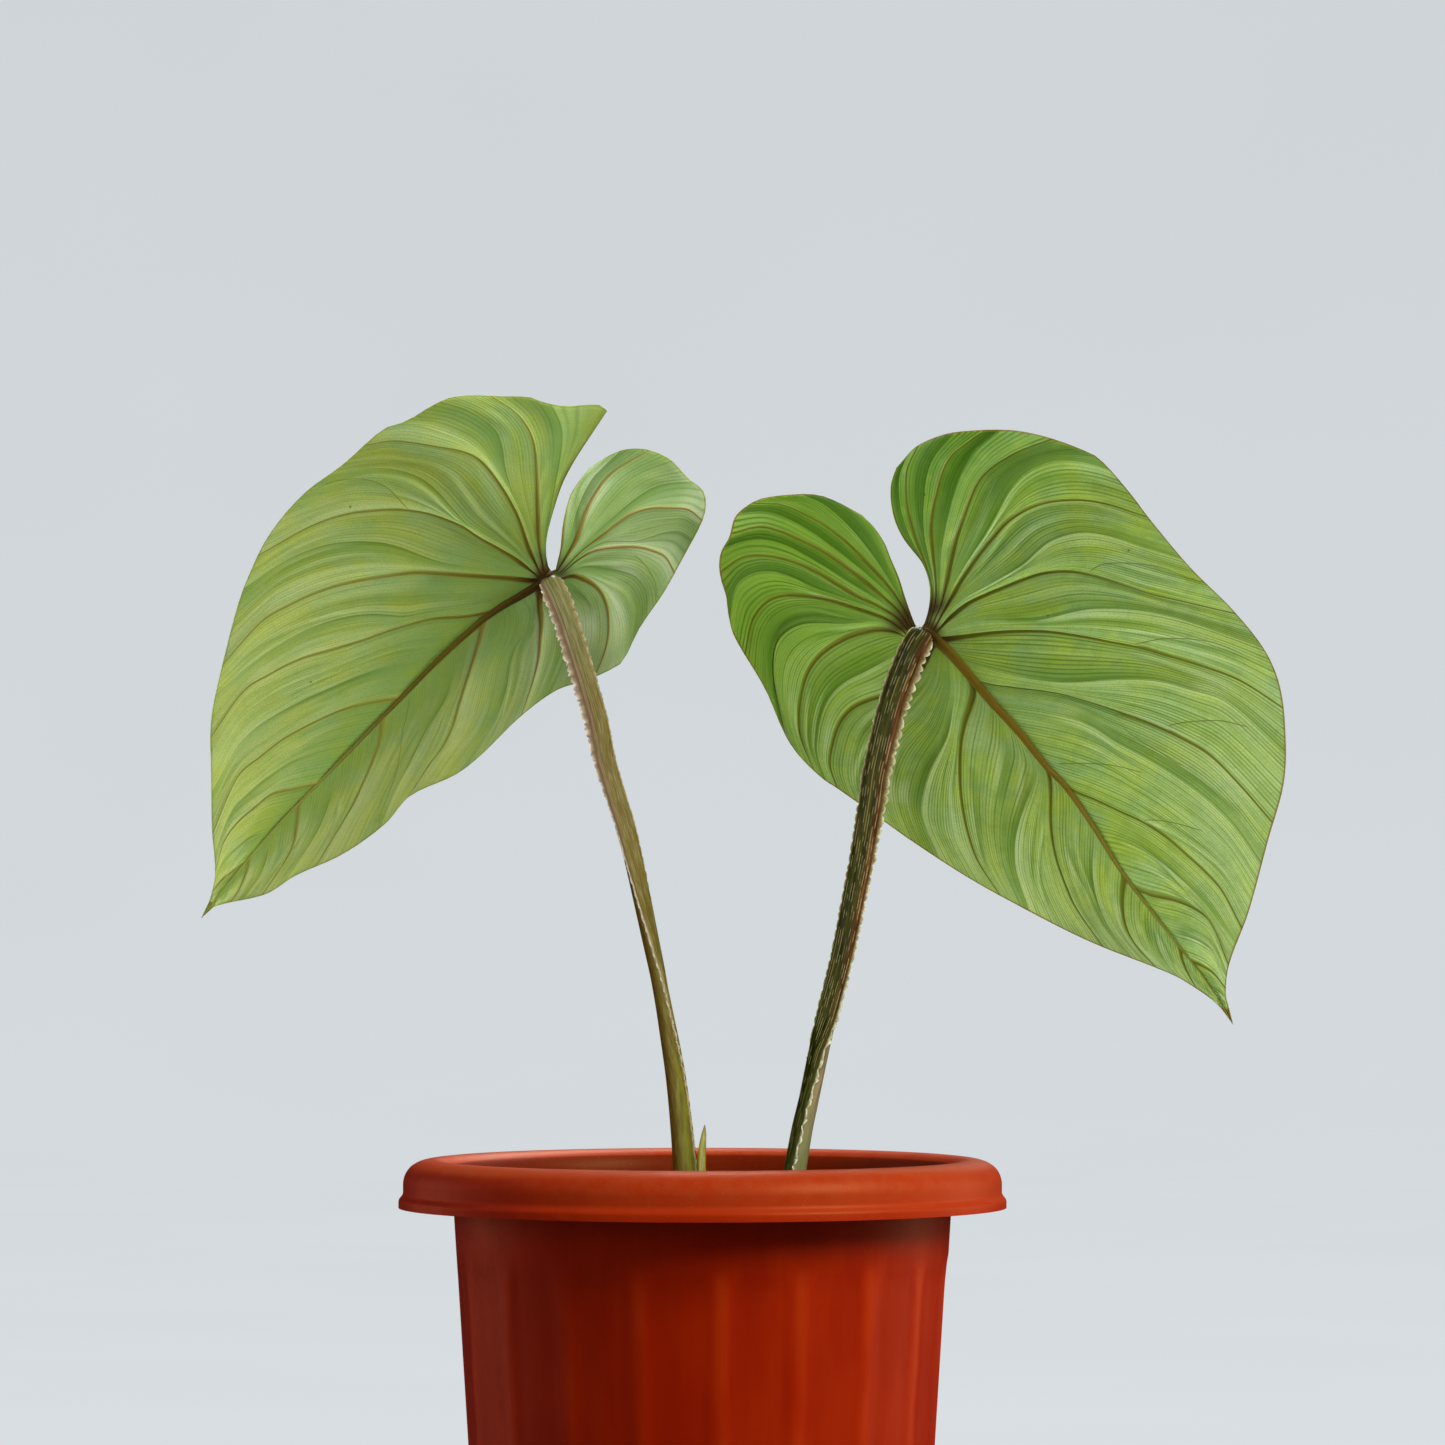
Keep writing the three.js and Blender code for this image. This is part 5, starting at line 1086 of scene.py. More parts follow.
def swept(stations, rings, sides, swell=None):
    """A round body along a smooth line of [x, y, z, radius] stations, blunted like an ellipse at both ends.
    swell gives what is added to the radius for a centre [ring, 1, xyz] and an angle."""
    line = Line(stations)
    f = np.linspace(0, 1, rings)
    centre, radius = line(f)[:, :3], line(f)[:, 3]
    along = unit(np.gradient(centre, axis=0))
    side = unit(np.cross([0, 1, 0.02], along))
    up = np.cross(along, side)
    near_end = np.minimum(f, 1 - f) * line.length / BLUNT_LENGTH
    radius = radius * np.sqrt(1 - (1 - np.minimum(1, near_end + 0.02)) ** 2)
    angle = full_turn(sides)
    size = radius[:, None] + (swell(centre[:, None], angle) if swell else 0)
    ring = side[:, None] * np.cos(angle)[:, None] + up[:, None] * np.sin(angle)[:, None]
    return centre[:, None] + ring * size[..., None]


def node_swell(centre, angle):
    """Raised scars round the rhizome, one at each node, on an uneven skin."""
    x = centre[..., 0]
    rings = sum(0.55 * np.exp(-((x - at - 0.5 * np.sin(angle)) / 0.7) ** 2) for at in NODE_RINGS)
    return rings + 0.12 * np.sin(x * 1.7 + 3 * angle) + 0.1 * np.sin(x * 3.1 - 5 * angle)


def rhizome_finish():
    """Olive to brown skin with dark patches."""
    m = Finish("rhizome_skin", 0.6, 0.4)
    base = m.mix("5A5A2A", "6E5A34", m.vary(7))
    base = m.mix(base, "3A2C18", m.vary(2.2, detail=4) * 0.6)
    m.bump(m.noise(0.9, 4), 0.4)
    return m.done(base)


def make_rhizome():
    """The creeping stem and its roots."""
    stem = tube(swept(RHIZOME, *RHIZOME_GRID, node_swell))
    roots = [tube(swept(root, *ROOT_GRID)) for root in ROOTS]
    make_piece("rhizome_skin", "rhizome", merged([stem, *roots]), [rhizome_finish()], sharp=60)


make_rhizome()


# Stalks

# Path points are front-view points with a depth. Stations are [height, half width, half depth, left wing,
# right wing, turn in degrees]: the channel faces the eye at the top and turns away from it going down.
LEFT_STALK = SimpleNamespace(
    path=[(686.5, 1200, 0), (684.5, 1168, 0), (681.5, 1130, -0.5), (676, 1080, -1), (668.5, 1030, -1.5),
          (660, 980, -2), (651, 940, -2.5), (642, 900, -3), (633, 860, -3.5), (624, 822, -4),
          (616, 795, -4.5), (606, 760, -5), (598, 720, -5.5), (587, 683, -6), (578, 655, -6.5),
          (569, 628, -7), (561, 606, -7.5), (555, 592, -7.5), (550.5, 583.5, -5.8)],
    seat=(549.5, 581),
    stations=[(0, 4.4, 4.2, 0, 0, -140), (0.06, 3.9, 3.8, 0.5, 0.5, -140), (0.2, 3.2, 3.3, 0.6, 0.5, -130),
              (0.3, 3, 3, 0.4, 0.4, -100), (0.42, 2.9, 2.9, 0.3, 0.4, -65), (0.52, 2.9, 2.8, 0.3, 0.4, -30),
              (0.62, 2.9, 2.8, 0.7, 0.4, 0), (0.74, 2.9, 2.8, 1.9, 0.4, 0), (0.86, 2.7, 2.8, 2.1, 1.1, 0),
              (0.96, 2.7, 2.7, 1.7, 1.7, 0), (0.985, 2.7, 2.5, 0.3, 0.3, 0), (1, 2.7, 2.5, 0, 0, 0)])
RIGHT_STALK = SimpleNamespace(
    path=[(787, 1200, 0), (794, 1168, 0), (801, 1130, -0.5), (808, 1100, -1), (819, 1050, -1.5),
          (831, 1000, -2), (844, 945, -3), (853, 900, -3.5), (861, 860, -4), (866, 830, -4.5),
          (871, 800, -5), (874.5, 775, -5.5), (880, 750, -6), (886, 725, -6.5), (893, 700, -7),
          (901, 677, -7.5), (909, 657, -8), (916, 643, -8), (920.5, 636.5, -6.2)],
    seat=(922, 634),
    stations=[(0, 4.6, 4.4, 0, 0, 80), (0.06, 4.1, 4.1, 0.9, 0.9, 80), (0.18, 3.3, 3.5, 0.9, 0.9, 68),
              (0.26, 3.2, 3.4, 0.7, 0.9, 50), (0.32, 3.2, 3.2, 0.5, 0.9, 15), (0.4, 3.2, 3.2, 0.5, 0.9, 0),
              (0.55, 3.4, 3.2, 0.6, 1, 0), (0.7, 3.6, 3.3, 0.7, 1.7, 0), (0.9, 3.8, 3.3, 0.9, 2, 0),
              (0.96, 3.8, 3.1, 0.7, 1.6, 0), (0.985, 3.4, 2.7, 0.2, 0.3, 0), (1, 3, 2.5, 0, 0, 0)])
FOOT_SUNK = 2
KNOB_SUNK = 0.6
WING_PLACE = 0.25
WING_HALF = 0.42
WING_COLUMNS = 7
RUFFLE = SimpleNamespace(side=0.35, depth=0.5)
STALK_RINGS = 760
STALK_SIDES = 48
STALK_STEP = 0.004


def stalk_section():
    """The stalk's outline on half axes of one: a shallow channel between two shoulders, and a round back."""
    front = [(1, 0.25), (0.86, 0.62), (0.4, 0.72), (0, 0.66), (-0.4, 0.72), (-0.86, 0.62), (-1, 0.25)]
    back = [(math.cos(a), math.sin(a)) for a in np.radians([200, 235, 270, 305, 340])]
    return Line([*front, *back, front[0]])(np.linspace(0, 1, STALK_SIDES, endpoint=False))


def stalk_axes(shape, lie):
    """Centres and axes of a stalk's sections: its path on the lines of sight, from inside the rhizome to
    inside the knob, with a side axis, level in the front view, and one towards the eye."""
    seat = front_point(shape.seat)
    depth = lie.base(seat) - (HALF_BLADE + KNOB_SUNK * MIDRIB.root) * lie.steepness(seat)
    path = np.array([(*front_point(point[:2]), point[2]) for point in shape.path] + [(*seat, depth)])
    path[0, 1] = rhizome_top(path[0, 0], 0) - FOOT_SUNK
    line = Line(path)
    f = np.linspace(0, 1, STALK_RINGS)
    near = [line(f + step) for step in (-STALK_STEP, 0, STALK_STEP)]
    below, centre, over = [seen_at(place[:, :2], place[:, 2]) for place in near]
    along = unit(over - below)
    side = unit(np.stack([along[:, 2], 0 * f, -along[:, 0]], 1))
    width, depth, *wings, turn = readings(shape.stations, f)
    turn = np.radians(turn)[:, None]
    return SimpleNamespace(f=f[:, None], centre=centre, side=side, towards=np.cross(side, along),
                           width=width[:, None], depth=depth[:, None], wings=wings, cos=np.cos(turn),
                           sin=np.sin(turn), length=line.length)


def on_stalk(axes, s, t):
    """Points from section coordinates [ring, point], turned about the stalk's centre."""
    x = (s * axes.cos - t * axes.sin)[..., None]
    y = (s * axes.sin + t * axes.cos)[..., None]
    return axes.centre[:, None] + axes.side[:, None] * x + axes.towards[:, None] * y


def stalk_body(axes):
    """The section scaled by the half width and half depth. Its field seen runs from -1 to 1 across the stalk
    as the eye sees it."""
    s, t = stalk_section().T
    return tube(on_stalk(axes, axes.width * s, axes.depth * t), s=s, t=t, height=axes.f,
                seen=s * axes.cos - t * axes.sin)


def stalk_wing(axes, sign, length, notch):
    """A thin frill along one shoulder: it reaches out by the wing's width, waves to and fro, more towards its
    edge, by sines of the way along the stalk, and its edge is a row of round teeth, |sin|^0.6, of a given
    length and notch."""
    reach = axes.wings[0 if sign < 0 else 1][:, None]
    out = np.linspace(0, 1, WING_COLUMNS)
    out = np.concatenate([out, out[::-1]])
    face = np.repeat([1, -1], WING_COLUMNS)
    wave = 2 * np.pi * axes.f * axes.length / length
    wave = wave + 1.1 * np.sin(0.21 * wave + sign) + 0.5 * np.sin(0.47 * wave)
    tooth = np.abs(np.sin(0.5 * wave)) ** 0.6
    s = sign * (0.9 * axes.width + (reach * (1 + notch * (tooth - 0.8) * out) + 0.1 * axes.width) * out)
    s = s + sign * reach * RUFFLE.side * 0.3 * np.sin(0.31 * wave + sign * reach) * out**2
    t = (WING_PLACE * axes.depth + face * WING_HALF * (1 - 0.5 * out)
         + reach * RUFFLE.depth * np.sin(0.5 * wave + 2 * sign * reach) * out**1.5
         + 0.16 * reach * np.sin(1.3 * wave + 1) * out**2)
    return tube(on_stalk(axes, s, t), out=out, height=axes.f)


def stalk_grain(m, across, along):
    """Where a point lies on a stalk, scaled across it and along it."""
    s, t, height = m.fields("s", "t", "height")
    return m.triple(X=s * across, Y=t * across, Z=height * along)


def near_knob(m, base, height):
    """A stalk darkens at its very end."""
    return m.mix(base, "3A2010", height.step(0.972, 0.998) * 0.7)


def left_stalk_finish():
    """Olive channel with a pinkish band along its left; the round back brown on the left and olive on the
    right."""
    m = Finish("stalk_left", 0.45, 0.25)
    s, t, height, seen = m.fields("s", "t", "height", "seen")
    streaks = m.vary(1, stalk_grain(m, 3.5, 26), 3)
    threads = m.vary(1, stalk_grain(m, 9, 40), 2)
    channel = m.mix("766812", "7C6C26", height.step(0.38, 0.6))
    channel = m.mix(channel, "7E7E44", height.step(0.75, 0.93))
    channel = m.mix(channel, "584A18", streaks * 0.5)
    channel = m.mix(channel, "A89E6E", threads.step(0.45, 1.0) * 0.35)
    pink = s.step(-0.35, -0.8) * height.step(0.5, 0.68)
    channel = m.mix(channel, "987A62", pink * (threads * 0.3 + 0.5))
    brown_line = s.step(-0.52, -0.42) * s.step(-0.3, -0.4) * height.step(0.6, 0.75)
    channel = m.mix(channel, "4A3418", brown_line * 0.6)
    back = m.mix("5A4004", "70660A", seen.step(-0.85, 0.1))
    back = m.mix(back, "7E8220", seen.step(-0.4, 0.5) * height.step(0.3, 0.12) * 0.7)
    back = m.mix(back, "A8A86A", seen.step(0.72, 1.0) * height.step(0.4, 0.2) * 0.8)
    back = m.mix(back, "543E04", streaks.step(0.25, 0.9) * 0.5)
    back = m.mix(back, "9A8C2E", threads.step(0.55, 1.0) * 0.2)
    base = m.mix(back, channel, t.step(-0.05, 0.3))
    shoulder = t.step(0.0, 0.18) * t.step(0.5, 0.3) * height.step(0.2, 0.35)
    base = near_knob(m, m.mix(base, "CFC6A0", shoulder * 0.35), height)
    m.bump(streaks * 0.5 + threads * 0.5, 0.2, 0.7)
    return m.done(base, 0.42 + streaks * 0.14)


def right_stalk_finish():
    """Channel nearly black green with rows of short pale dashes and a red-brown right; the back tan and
    green."""
    m = Finish("stalk_right", 0.5, 0.08)
    s, t, height = m.fields("s", "t", "height")
    streaks = m.vary(1, stalk_grain(m, 3.5, 18), 3)
    channel = m.mix("1C2002", "484610", streaks * 0.9)
    channel = m.mix(channel, m.mix("1C2402", "3E460A", streaks), height.step(0.45, 0.2) * 0.8)
    red = s.step(0.2, 0.7) * height.step(0.2, 0.5)
    channel = m.mix(channel, m.mix("48240A", "7E5430", streaks), red * 0.8)
    rows = s * 4.3 + 9
    chance = m.noise(1, 1, m.triple(X=m.maths("FLOOR", rows) * 5.3, Z=height * 34))
    dashes = m.wave(rows) ** 8 * chance.step(0.47, 0.55)
    channel = m.mix(channel, "C8BC80", dashes * (0.5 + 0.2 * red))
    back = m.mix("88744A", "A49470", streaks)
    back = m.mix(back, "7E8850", height.step(0.22, 0.08) * 0.7)
    base = near_knob(m, m.mix(back, channel, t.step(0.0, 0.3)), height)
    m.bump(streaks * 0.5 + dashes * 0.5, 0.18, 0.7)
    return m.done(base, 0.45 + streaks * 0.14)


def wing_finish(name, root, middle, edge, low, edge_share, low_share=1.0):
    """A frill: the stalk's colour at its root, then its own, which differs low down, and a paler, uneven
    edge."""
    m = Finish(name, 0.5, 0.15)
    out, height = m.fields("out", "height")
    stains = m.vary(1, m.triple(X=out, Z=height * 110), 3)
    middle = m.mix(middle, low, height.step(0.55, 0.3))
    base = m.mix(root, middle, out.step(0.15, 0.65) * (stains * 0.5 + 0.5))
    share = height.step(0.3, 0.5) * (edge_share - low_share) + low_share
    base = m.mix(base, edge, out.step(0.55, 0.95) * (stains * 0.5 + 0.5) * share)
    m.bump(stains, 0.12, 0.6)
    return m.done(base)


def make_stalk(side, shape, lie, skin, length, notch, frills):
    """A stalk and the frills on its left and right shoulders."""
    axes = stalk_axes(shape, lie)
    node = "petiole_" + side
    make_piece("stalk_" + side, node, stalk_body(axes), [skin], sharp=60)
    for sign, edge, finish in zip((-1, 1), ("left", "right"), frills):
        make_piece(f"frill_{side}_{edge}", node, stalk_wing(axes, sign, length, notch), [finish], sharp=60)


make_stalk("left", LEFT_STALK, left_lie, left_stalk_finish(), 2.1, 0.45,
           (wing_finish("frill_pink", "86724E", "B29A84", "E8E0C8", "A4985C", 0.85, 0.4),
            wing_finish("frill_olive", "807A40", "9A8C62", "C8BC98", "94904C", 0.7, 0.5)))
make_stalk("right", RIGHT_STALK, right_lie, right_stalk_finish(), 3.3, 0.8,
           (wing_finish("frill_rusty", "322C08", "6C5C30", "C0BE92", "7E8050", 0.85),
            wing_finish("frill_cream", "5A4218", "A4925E", "E2E0BC", "BEC294", 1.0)))


# Cataphyll

SHEATH = [(0.8, -4.6, 151.5, 2.1), (0.4, -4.2, 158, 1.8), (-0.3, -3.9, 163, 1.5), (-0.1, -3.7, 170, 1.25),
          (0.5, -3.5, 176, 0.75), (0.8, -3.5, 179.3, 0.1)]
SHEATH_GRID = (140, 36)


def sheath_finish():
    """Yellow green in fine streaks, browner on both sides and at the tip."""
    m = Finish("sheath", 0.42, 0.5)
    streaks = m.vary(0.6, m.place(scale=(1, 1, 0.08)), 3)
    x, z = m.axis(m.place(), 0), m.axis(m.place(), 2)
    base = m.mix("928C1C", "B0AA40", streaks)
    base = m.mix(base, "4E4214", x.step(-0.8, -1.8) * 0.5)
    base = m.mix(base, "7A4E1C", x.step(0.6, 1.8) * 0.6)
    base = m.mix(base, "6A4A20", z.step(174, 179) * 0.5)
    m.bump(streaks, 0.15, 0.6)
    return m.done(base)


def make_sheath():
    """A slim spike: rings of radius r, flattened to 0.8 in depth, with a keel that adds 0.16 cos^12 of half
    the angle on its left, and its free edge a low ridge on the right."""
    rings, sides = SHEATH_GRID
    angle = full_turn(sides)
    x, y, z, radius = np.moveaxis(Line(SHEATH)(np.linspace(0, 1, rings)), -1, 0)[..., None]
    keel = 1 + 0.16 * np.cos((angle - 3.0) / 2) ** 12 + 0.1 * np.cos((angle + 0.9) / 2) ** 24
    radius = np.maximum(radius, 0.05) * keel
    spike = np.stack([x + radius * np.cos(angle), y + radius * 0.8 * np.sin(angle), z + 0 * angle], -1)
    make_piece("sheath", "cataphyll", tube(spike), [sheath_finish()], sharp=60)


make_sheath()


# Pot

FLUTES = 19
FLUTE_PHASE = 9.2
FLUTE_DEPTH = 0.7
FLUTE_FLANK = 0.26
FLUTE_TOP = 137
FLUTE_ARCH = 6
FLUTE_ROOT = 7
POT_SIDES = 20 * FLUTES
ROUNDING_POINTS = 6
PROFILE_STEP = 4.2
SKIRT_FOOT = 152
BURRS = SimpleNamespace(turns=(234.7, 243), proud=0.6, half_width=1.1, half_height=0.9, above=0.6)
DRAIN_HOLES, DRAIN_RING, DRAIN_RADIUS = 6, 46, 4.5
POT_SHARP = 50


def body_radius(z):
    """Radius of the wall's cone at a height."""
    return BASE_RADIUS + BODY_TAPER * z


def from_ridge(angle):
    """How far an angle is from the nearest ridge, as a share of the way from one ridge to the next."""
    turn = (np.degrees(angle) - FLUTE_PHASE) / (360 / FLUTES)
    part = turn - np.floor(turn)
    return np.minimum(part, 1 - part)


def flute_depth(angle, z):
    """19 channels with level floors between narrow ridges, ending in a rounded arch."""
    across = rise(0, FLUTE_FLANK, from_ridge(angle))
    top = FLUTE_TOP - FLUTE_ARCH * (1 - across)
    return FLUTE_DEPTH * across * rise(0, FLUTE_ROOT, top - z)


def ridge_highlight(angle, z):
    """Where the painted highlight on the ridges lies: 1 along the crest of each ridge, fading to 0 towards
    the channels and at the arch.
    """
    return rise(0.13, 0.02, from_ridge(angle)) * rise(FLUTE_TOP - 1, FLUTE_TOP - 6, z)


def rounded(corners):
    """A profile from [radius, height, rounding] corners: each corner becomes a quadratic curve that begins
    and ends at most its rounding away from it. Long stretches then get a point every few millimetres."""
    corners = np.asarray(corners, float)
    p, size = corners[:, :2], corners[:, 2]
    before, after = np.vstack([p[:1], p[:-1]]), np.vstack([p[1:], p[-1:]])
    lengths = [np.maximum(np.linalg.norm(other - p, axis=1), 1e-9) for other in (before, after)]
    shortest = np.minimum(*[np.where(length > 1e-6, length, 1e9) for length in lengths])
    cut = np.minimum(size, 0.48 * shortest)
    start, end = (p + (other - p) * (cut / length)[:, None]
                  for other, length in zip((before, after), lengths))
    t = np.linspace(0, 1, ROUNDING_POINTS)[:, None, None]
    curve = (1 - t) ** 2 * start + 2 * t * (1 - t) * p + t**2 * end
    curve = curve.transpose(1, 0, 2).reshape(-1, 2)
    steps = np.linalg.norm(np.diff(curve, axis=0), axis=1)
    curve = curve[np.concatenate([[True], steps > 1e-4])]
    at = np.concatenate([[0], np.cumsum(np.linalg.norm(np.diff(curve, axis=0), axis=1))])
    places = np.unique(np.concatenate([at, np.arange(0, at[-1], PROFILE_STEP)]).round(3))
    return np.stack([np.interp(places, at, curve[:, k]) for k in (0, 1)], 1)


def pot_finish():
    """Moulded plastic, terracotta red: faint cloudy streaks down the wall, a painted highlight along the
    ridges, a painted highlight mixed with dust near the rim, painted shade in the channels and on the inner
    wall, and fine scratches in the gloss."""
    m = Finish("pot_plastic", 0.4, 0.3, Specular_Tint=(1.0, 0.5, 0.15, 1.0))
    where = m.place()
    x, y, z = (m.axis(where, k) for k in range(3))
    clouds = m.vary(14, m.place(scale=(1, 1, 0.35)))
    streaks = m.vary(2.2, m.place(scale=(1, 1, 0.05)), 3)
    base = m.mix("A61C00", "B82A00", clouds * 0.5 + streaks * 0.15)
    # Painted highlight along the crests of the flutes' ridges.
    base = m.mix(base, "C44410", m.field("ridge") * (clouds * 0.25 + 0.1))
    # Painted highlight mixed with dust: the upper pot is paler except on its left, away from the key light,
    # and paler all round at the crest.
    lit_lip_and_dust = m.most(x.step(-85, -25), z.step(163, 166))
    base = m.mix(base, "B83C12", z.step(149, 158) * lit_lip_and_dust * 0.7)
    base = m.mix(base, "B8502C", m.vary(5, detail=4) * z.step(155, 163) * lit_lip_and_dust * 0.3)
    within = m.maths("SQRT", x * x + y * y) - z * BODY_TAPER - BASE_RADIUS
    # Painted shade wherever the surface lies inside the outer wall's cone: in the flutes' channels and inside
    # the pot.
    base = m.mix(base, "5C0E00", within.step(0.0, -0.6) * 0.12)
    # Painted shade on the inner wall, which lies more than 1 mm inside the outer wall's cone.
    inner_shade = (within - z.step(161, 163) * 1.2).step(-0.8, -1.2) * z.step(169.5, 165)
    base = m.mix(base, "5C0E00", inner_shade * 0.75)
    grains = m.noise(0.5, 3)
    base = m.mix(base, "D08A68", grains.step(0.66, 0.74) * z.step(120, 160) * 0.3)
    m.bump(grains * 0.5 + streaks * 0.5, 0.1, 0.3)
    return m.done(base, 0.36 + m.noise(5, 3) * 0.16)


def drain_cutter():
    """Six short round bars, standing where the floor's holes are."""
    z = np.array([[-3], [FLOOR + 3]])
    bar = lathed(DRAIN_RADIUS + 0 * z, z, full_turn(32))
    turns = full_turn(DRAIN_HOLES) + math.pi / DRAIN_HOLES
    bars = [tube(bar + [DRAIN_RING * math.cos(turn), DRAIN_RING * math.sin(turn), 0]) for turn in turns]
    points, faces, _ = merged(bars)
    return plain_object("drain_cutter", points * MM, [block[:, ::-1] for block in faces])


def pot_profile():
    """Outside and inside of the wall, from the middle of the underside over the rim to the middle of the
    floor. Corners are [radius, height, rounding]."""
    lip = LIP_RADIUS
    inner = body_radius(0) - WALL
    outside = rounded([
        (3, 0, 0), (BASE_RADIUS - 1.2, 0, 1.2), (BASE_RADIUS + 0.1, 1.6, 1.5), (body_radius(158), 158, 3),
        (body_radius(158) + 3.2, 163.4, 2), (lip - 9, 164.2, 3), (lip - 3.8, 160.4, 3),
        (lip - 3.2, SKIRT_FOOT, 0.5)])
    inside = rounded([
        (lip, SKIRT_FOOT, 0.5), (lip, 154.6, 0.7), (lip - 1.5, 156.4, 0.9), (lip - 1.5, 161.6, 4),
        (lip - 3.4, 165.2, 2), (lip - 7.2, 167.4, 3), (lip - 12.7, POT_HEIGHT, 3), (lip - 16.4, 166.8, 2),
        (lip - 18.6, 163.6, 3), (inner + BODY_TAPER * 156, 156, 4), (inner + BODY_TAPER * 5, FLOOR + 2, 2),
        (inner - 2, FLOOR, 2), (3, FLOOR, 0)])
    return outside, inside


def make_pot():
    """The profile turned about the axis, less the flutes' depth outside, with two burrs of the moulding on
    the lip's lower edge and the drain holes cut out of the floor."""
    outside, inside = pot_profile()
    profile = np.vstack([outside, inside])
    angle = full_turn(POT_SIDES)
    radius, z = profile[:, :1], profile[:, 1:]
    fluted = (np.arange(len(profile)) < len(outside))[:, None] * (radius > BASE_RADIUS - 0.6)
    radius = radius - fluted * flute_depth(angle, z)
    for turn in BURRS.turns:
        across = (angle - math.radians(turn)) * LIP_RADIUS / BURRS.half_width
        up = (z - SKIRT_FOOT - BURRS.above) / BURRS.half_height
        radius = radius + BURRS.proud * np.exp(-across**2 - up**2) * (radius > LIP_RADIUS - 2)
    # The ridge field marks where the painted highlight on the ridges lies.
    body = tube(lathed(radius, z, angle), ridge=fluted * ridge_highlight(angle, z))
    pot = make_piece("pot_shell", "pot", body, [pot_finish()], sharp=POT_SHARP)
    cutter = drain_cutter()
    cut = pot.modifiers.new("drain", "BOOLEAN")
    cut.operation, cut.solver, cut.object = "DIFFERENCE", "MANIFOLD", cutter
    drained = bpy.data.meshes.new_from_object(pot.evaluated_get(bpy.context.evaluated_depsgraph_get()))
    pot.modifiers.clear()
    pot.data = drained
    drained.set_sharp_from_angle(angle=math.radians(POT_SHARP))
    bpy.data.objects.remove(cutter)


make_pot()


# Soil

# A chip's sizes are half its length, width and thickness, each from the least to the greatest.
CHIPS = SimpleNamespace(count=1100, spread=0.985, sizes=[(1.6, 5.2), (1.1, 2.8), (0.6, 1.3)], smallest=0.25,
                        uneven=(0.72, 1.15), tilt=0.3, lift=0.9, tones=(0.1, 1))
# The part of the soil around the rhizome that stays clear of chips
CLEAR = SimpleNamespace(middle=3, half_length=41, half_width=8)
CRUMB = SimpleNamespace(sines=12, height=0.22, lengths=(4, 15))
SOIL_SIDES, SOIL_RINGS = 180, 70
SEED = 4
draws = np.random.default_rng(SEED)


def soil_height(x, y):
    """The soil's level, with two slow waves."""
    return SOIL_LEVEL + 0.9 * np.sin(x * 0.11 + 1) * np.cos(y * 0.13) + 0.6 * np.sin(y * 0.21 + x * 0.07)


def soil_crumb(x, y):
    """The level above, roughened by crossing sines of seeded lengths and directions."""
    spans = ((0, np.pi), CRUMB.lengths, (0, 6))
    turns, lengths, phases = (draws.uniform(low, high, CRUMB.sines) for low, high in spans)
    rough = 0
    for turn, length, phase in zip(turns, lengths, phases):
        across = x * math.cos(turn) + y * math.sin(turn)
        rough = rough + CRUMB.height * np.sin(across * 2 * math.pi / length + phase)
    return soil_height(x, y) + rough


def ball_template():
    """An octahedron whose edges are halved once, on a unit ball."""
    corners = np.array([(1, 0, 0), (-1, 0, 0), (0, 1, 0), (0, -1, 0), (0, 0, 1), (0, 0, -1)], float)
    eighths = [(0, 2, 4), (2, 1, 4), (1, 3, 4), (3, 0, 4), (2, 0, 5), (1, 2, 5), (3, 1, 5), (0, 3, 5)]
    quarters = np.array([(0, 3, 5), (3, 1, 4), (5, 4, 2), (3, 4, 5)])
    points, faces = [], []
    for a, b, c in corners[np.array(eighths)]:
        faces += (quarters + len(points)).tolist()
        points += [a, b, c, a + b, b + c, c + a]
    whole, index = np.unique(unit(np.array(points)).round(6), axis=0, return_inverse=True)
    return whole, index.ravel()[np.array(faces)]


def turned(points, turns):
    """Points [piece, point, xyz] turned by [piece, angle] about z, x and z again."""
    for axis, angle in ((2, turns[:, 0]), (0, turns[:, 1]), (2, turns[:, 2])):
        a, b = [(1, 2), (2, 0), (0, 1)][axis]
        cos, sin = np.cos(angle)[:, None], np.sin(angle)[:, None]
        pa, pb = points[..., a] * cos - points[..., b] * sin, points[..., a] * sin + points[..., b] * cos
        points = points.copy()
        points[..., a], points[..., b] = pa, pb
    return points


def soil_finish():
    """Dark brown mix with lighter chips, each in its own tone."""
    m = Finish("soil_mix", 0.9, 0.3)
    tone = m.field("tone")
    base = m.mix("1E150E", "4A3322", tone)
    base = m.mix(base, "6A4A2E", tone.step(0.8, 1.0) * 0.7)
    base = m.mix(base, "120C08", m.vary(1.6, detail=4) * 0.6)
    m.bump(m.noise(0.7, 5), 0.5)
    return m.done(base)


def soil_ground(top_radius):
    """The filling, from the pot's floor up its wall and over an uneven top."""
    angle = full_turn(SOIL_SIDES)
    low = FLOOR + GAP
    foot = body_radius(low) - WALL - GAP
    radius = np.array([3, foot - 2.2, foot + 2 * BODY_TAPER])[:, None]
    wall = lathed(radius, np.array([low, low, low + 2])[:, None], angle)
    shares = np.linspace(1, 0.03, SOIL_RINGS)[:, None]
    x, y = top_radius * shares * np.cos(angle), top_radius * shares * np.sin(angle)
    top = np.stack([x, y, soil_crumb(x, y)], -1)
    return tube(np.concatenate([wall, top]), tone=0.25)


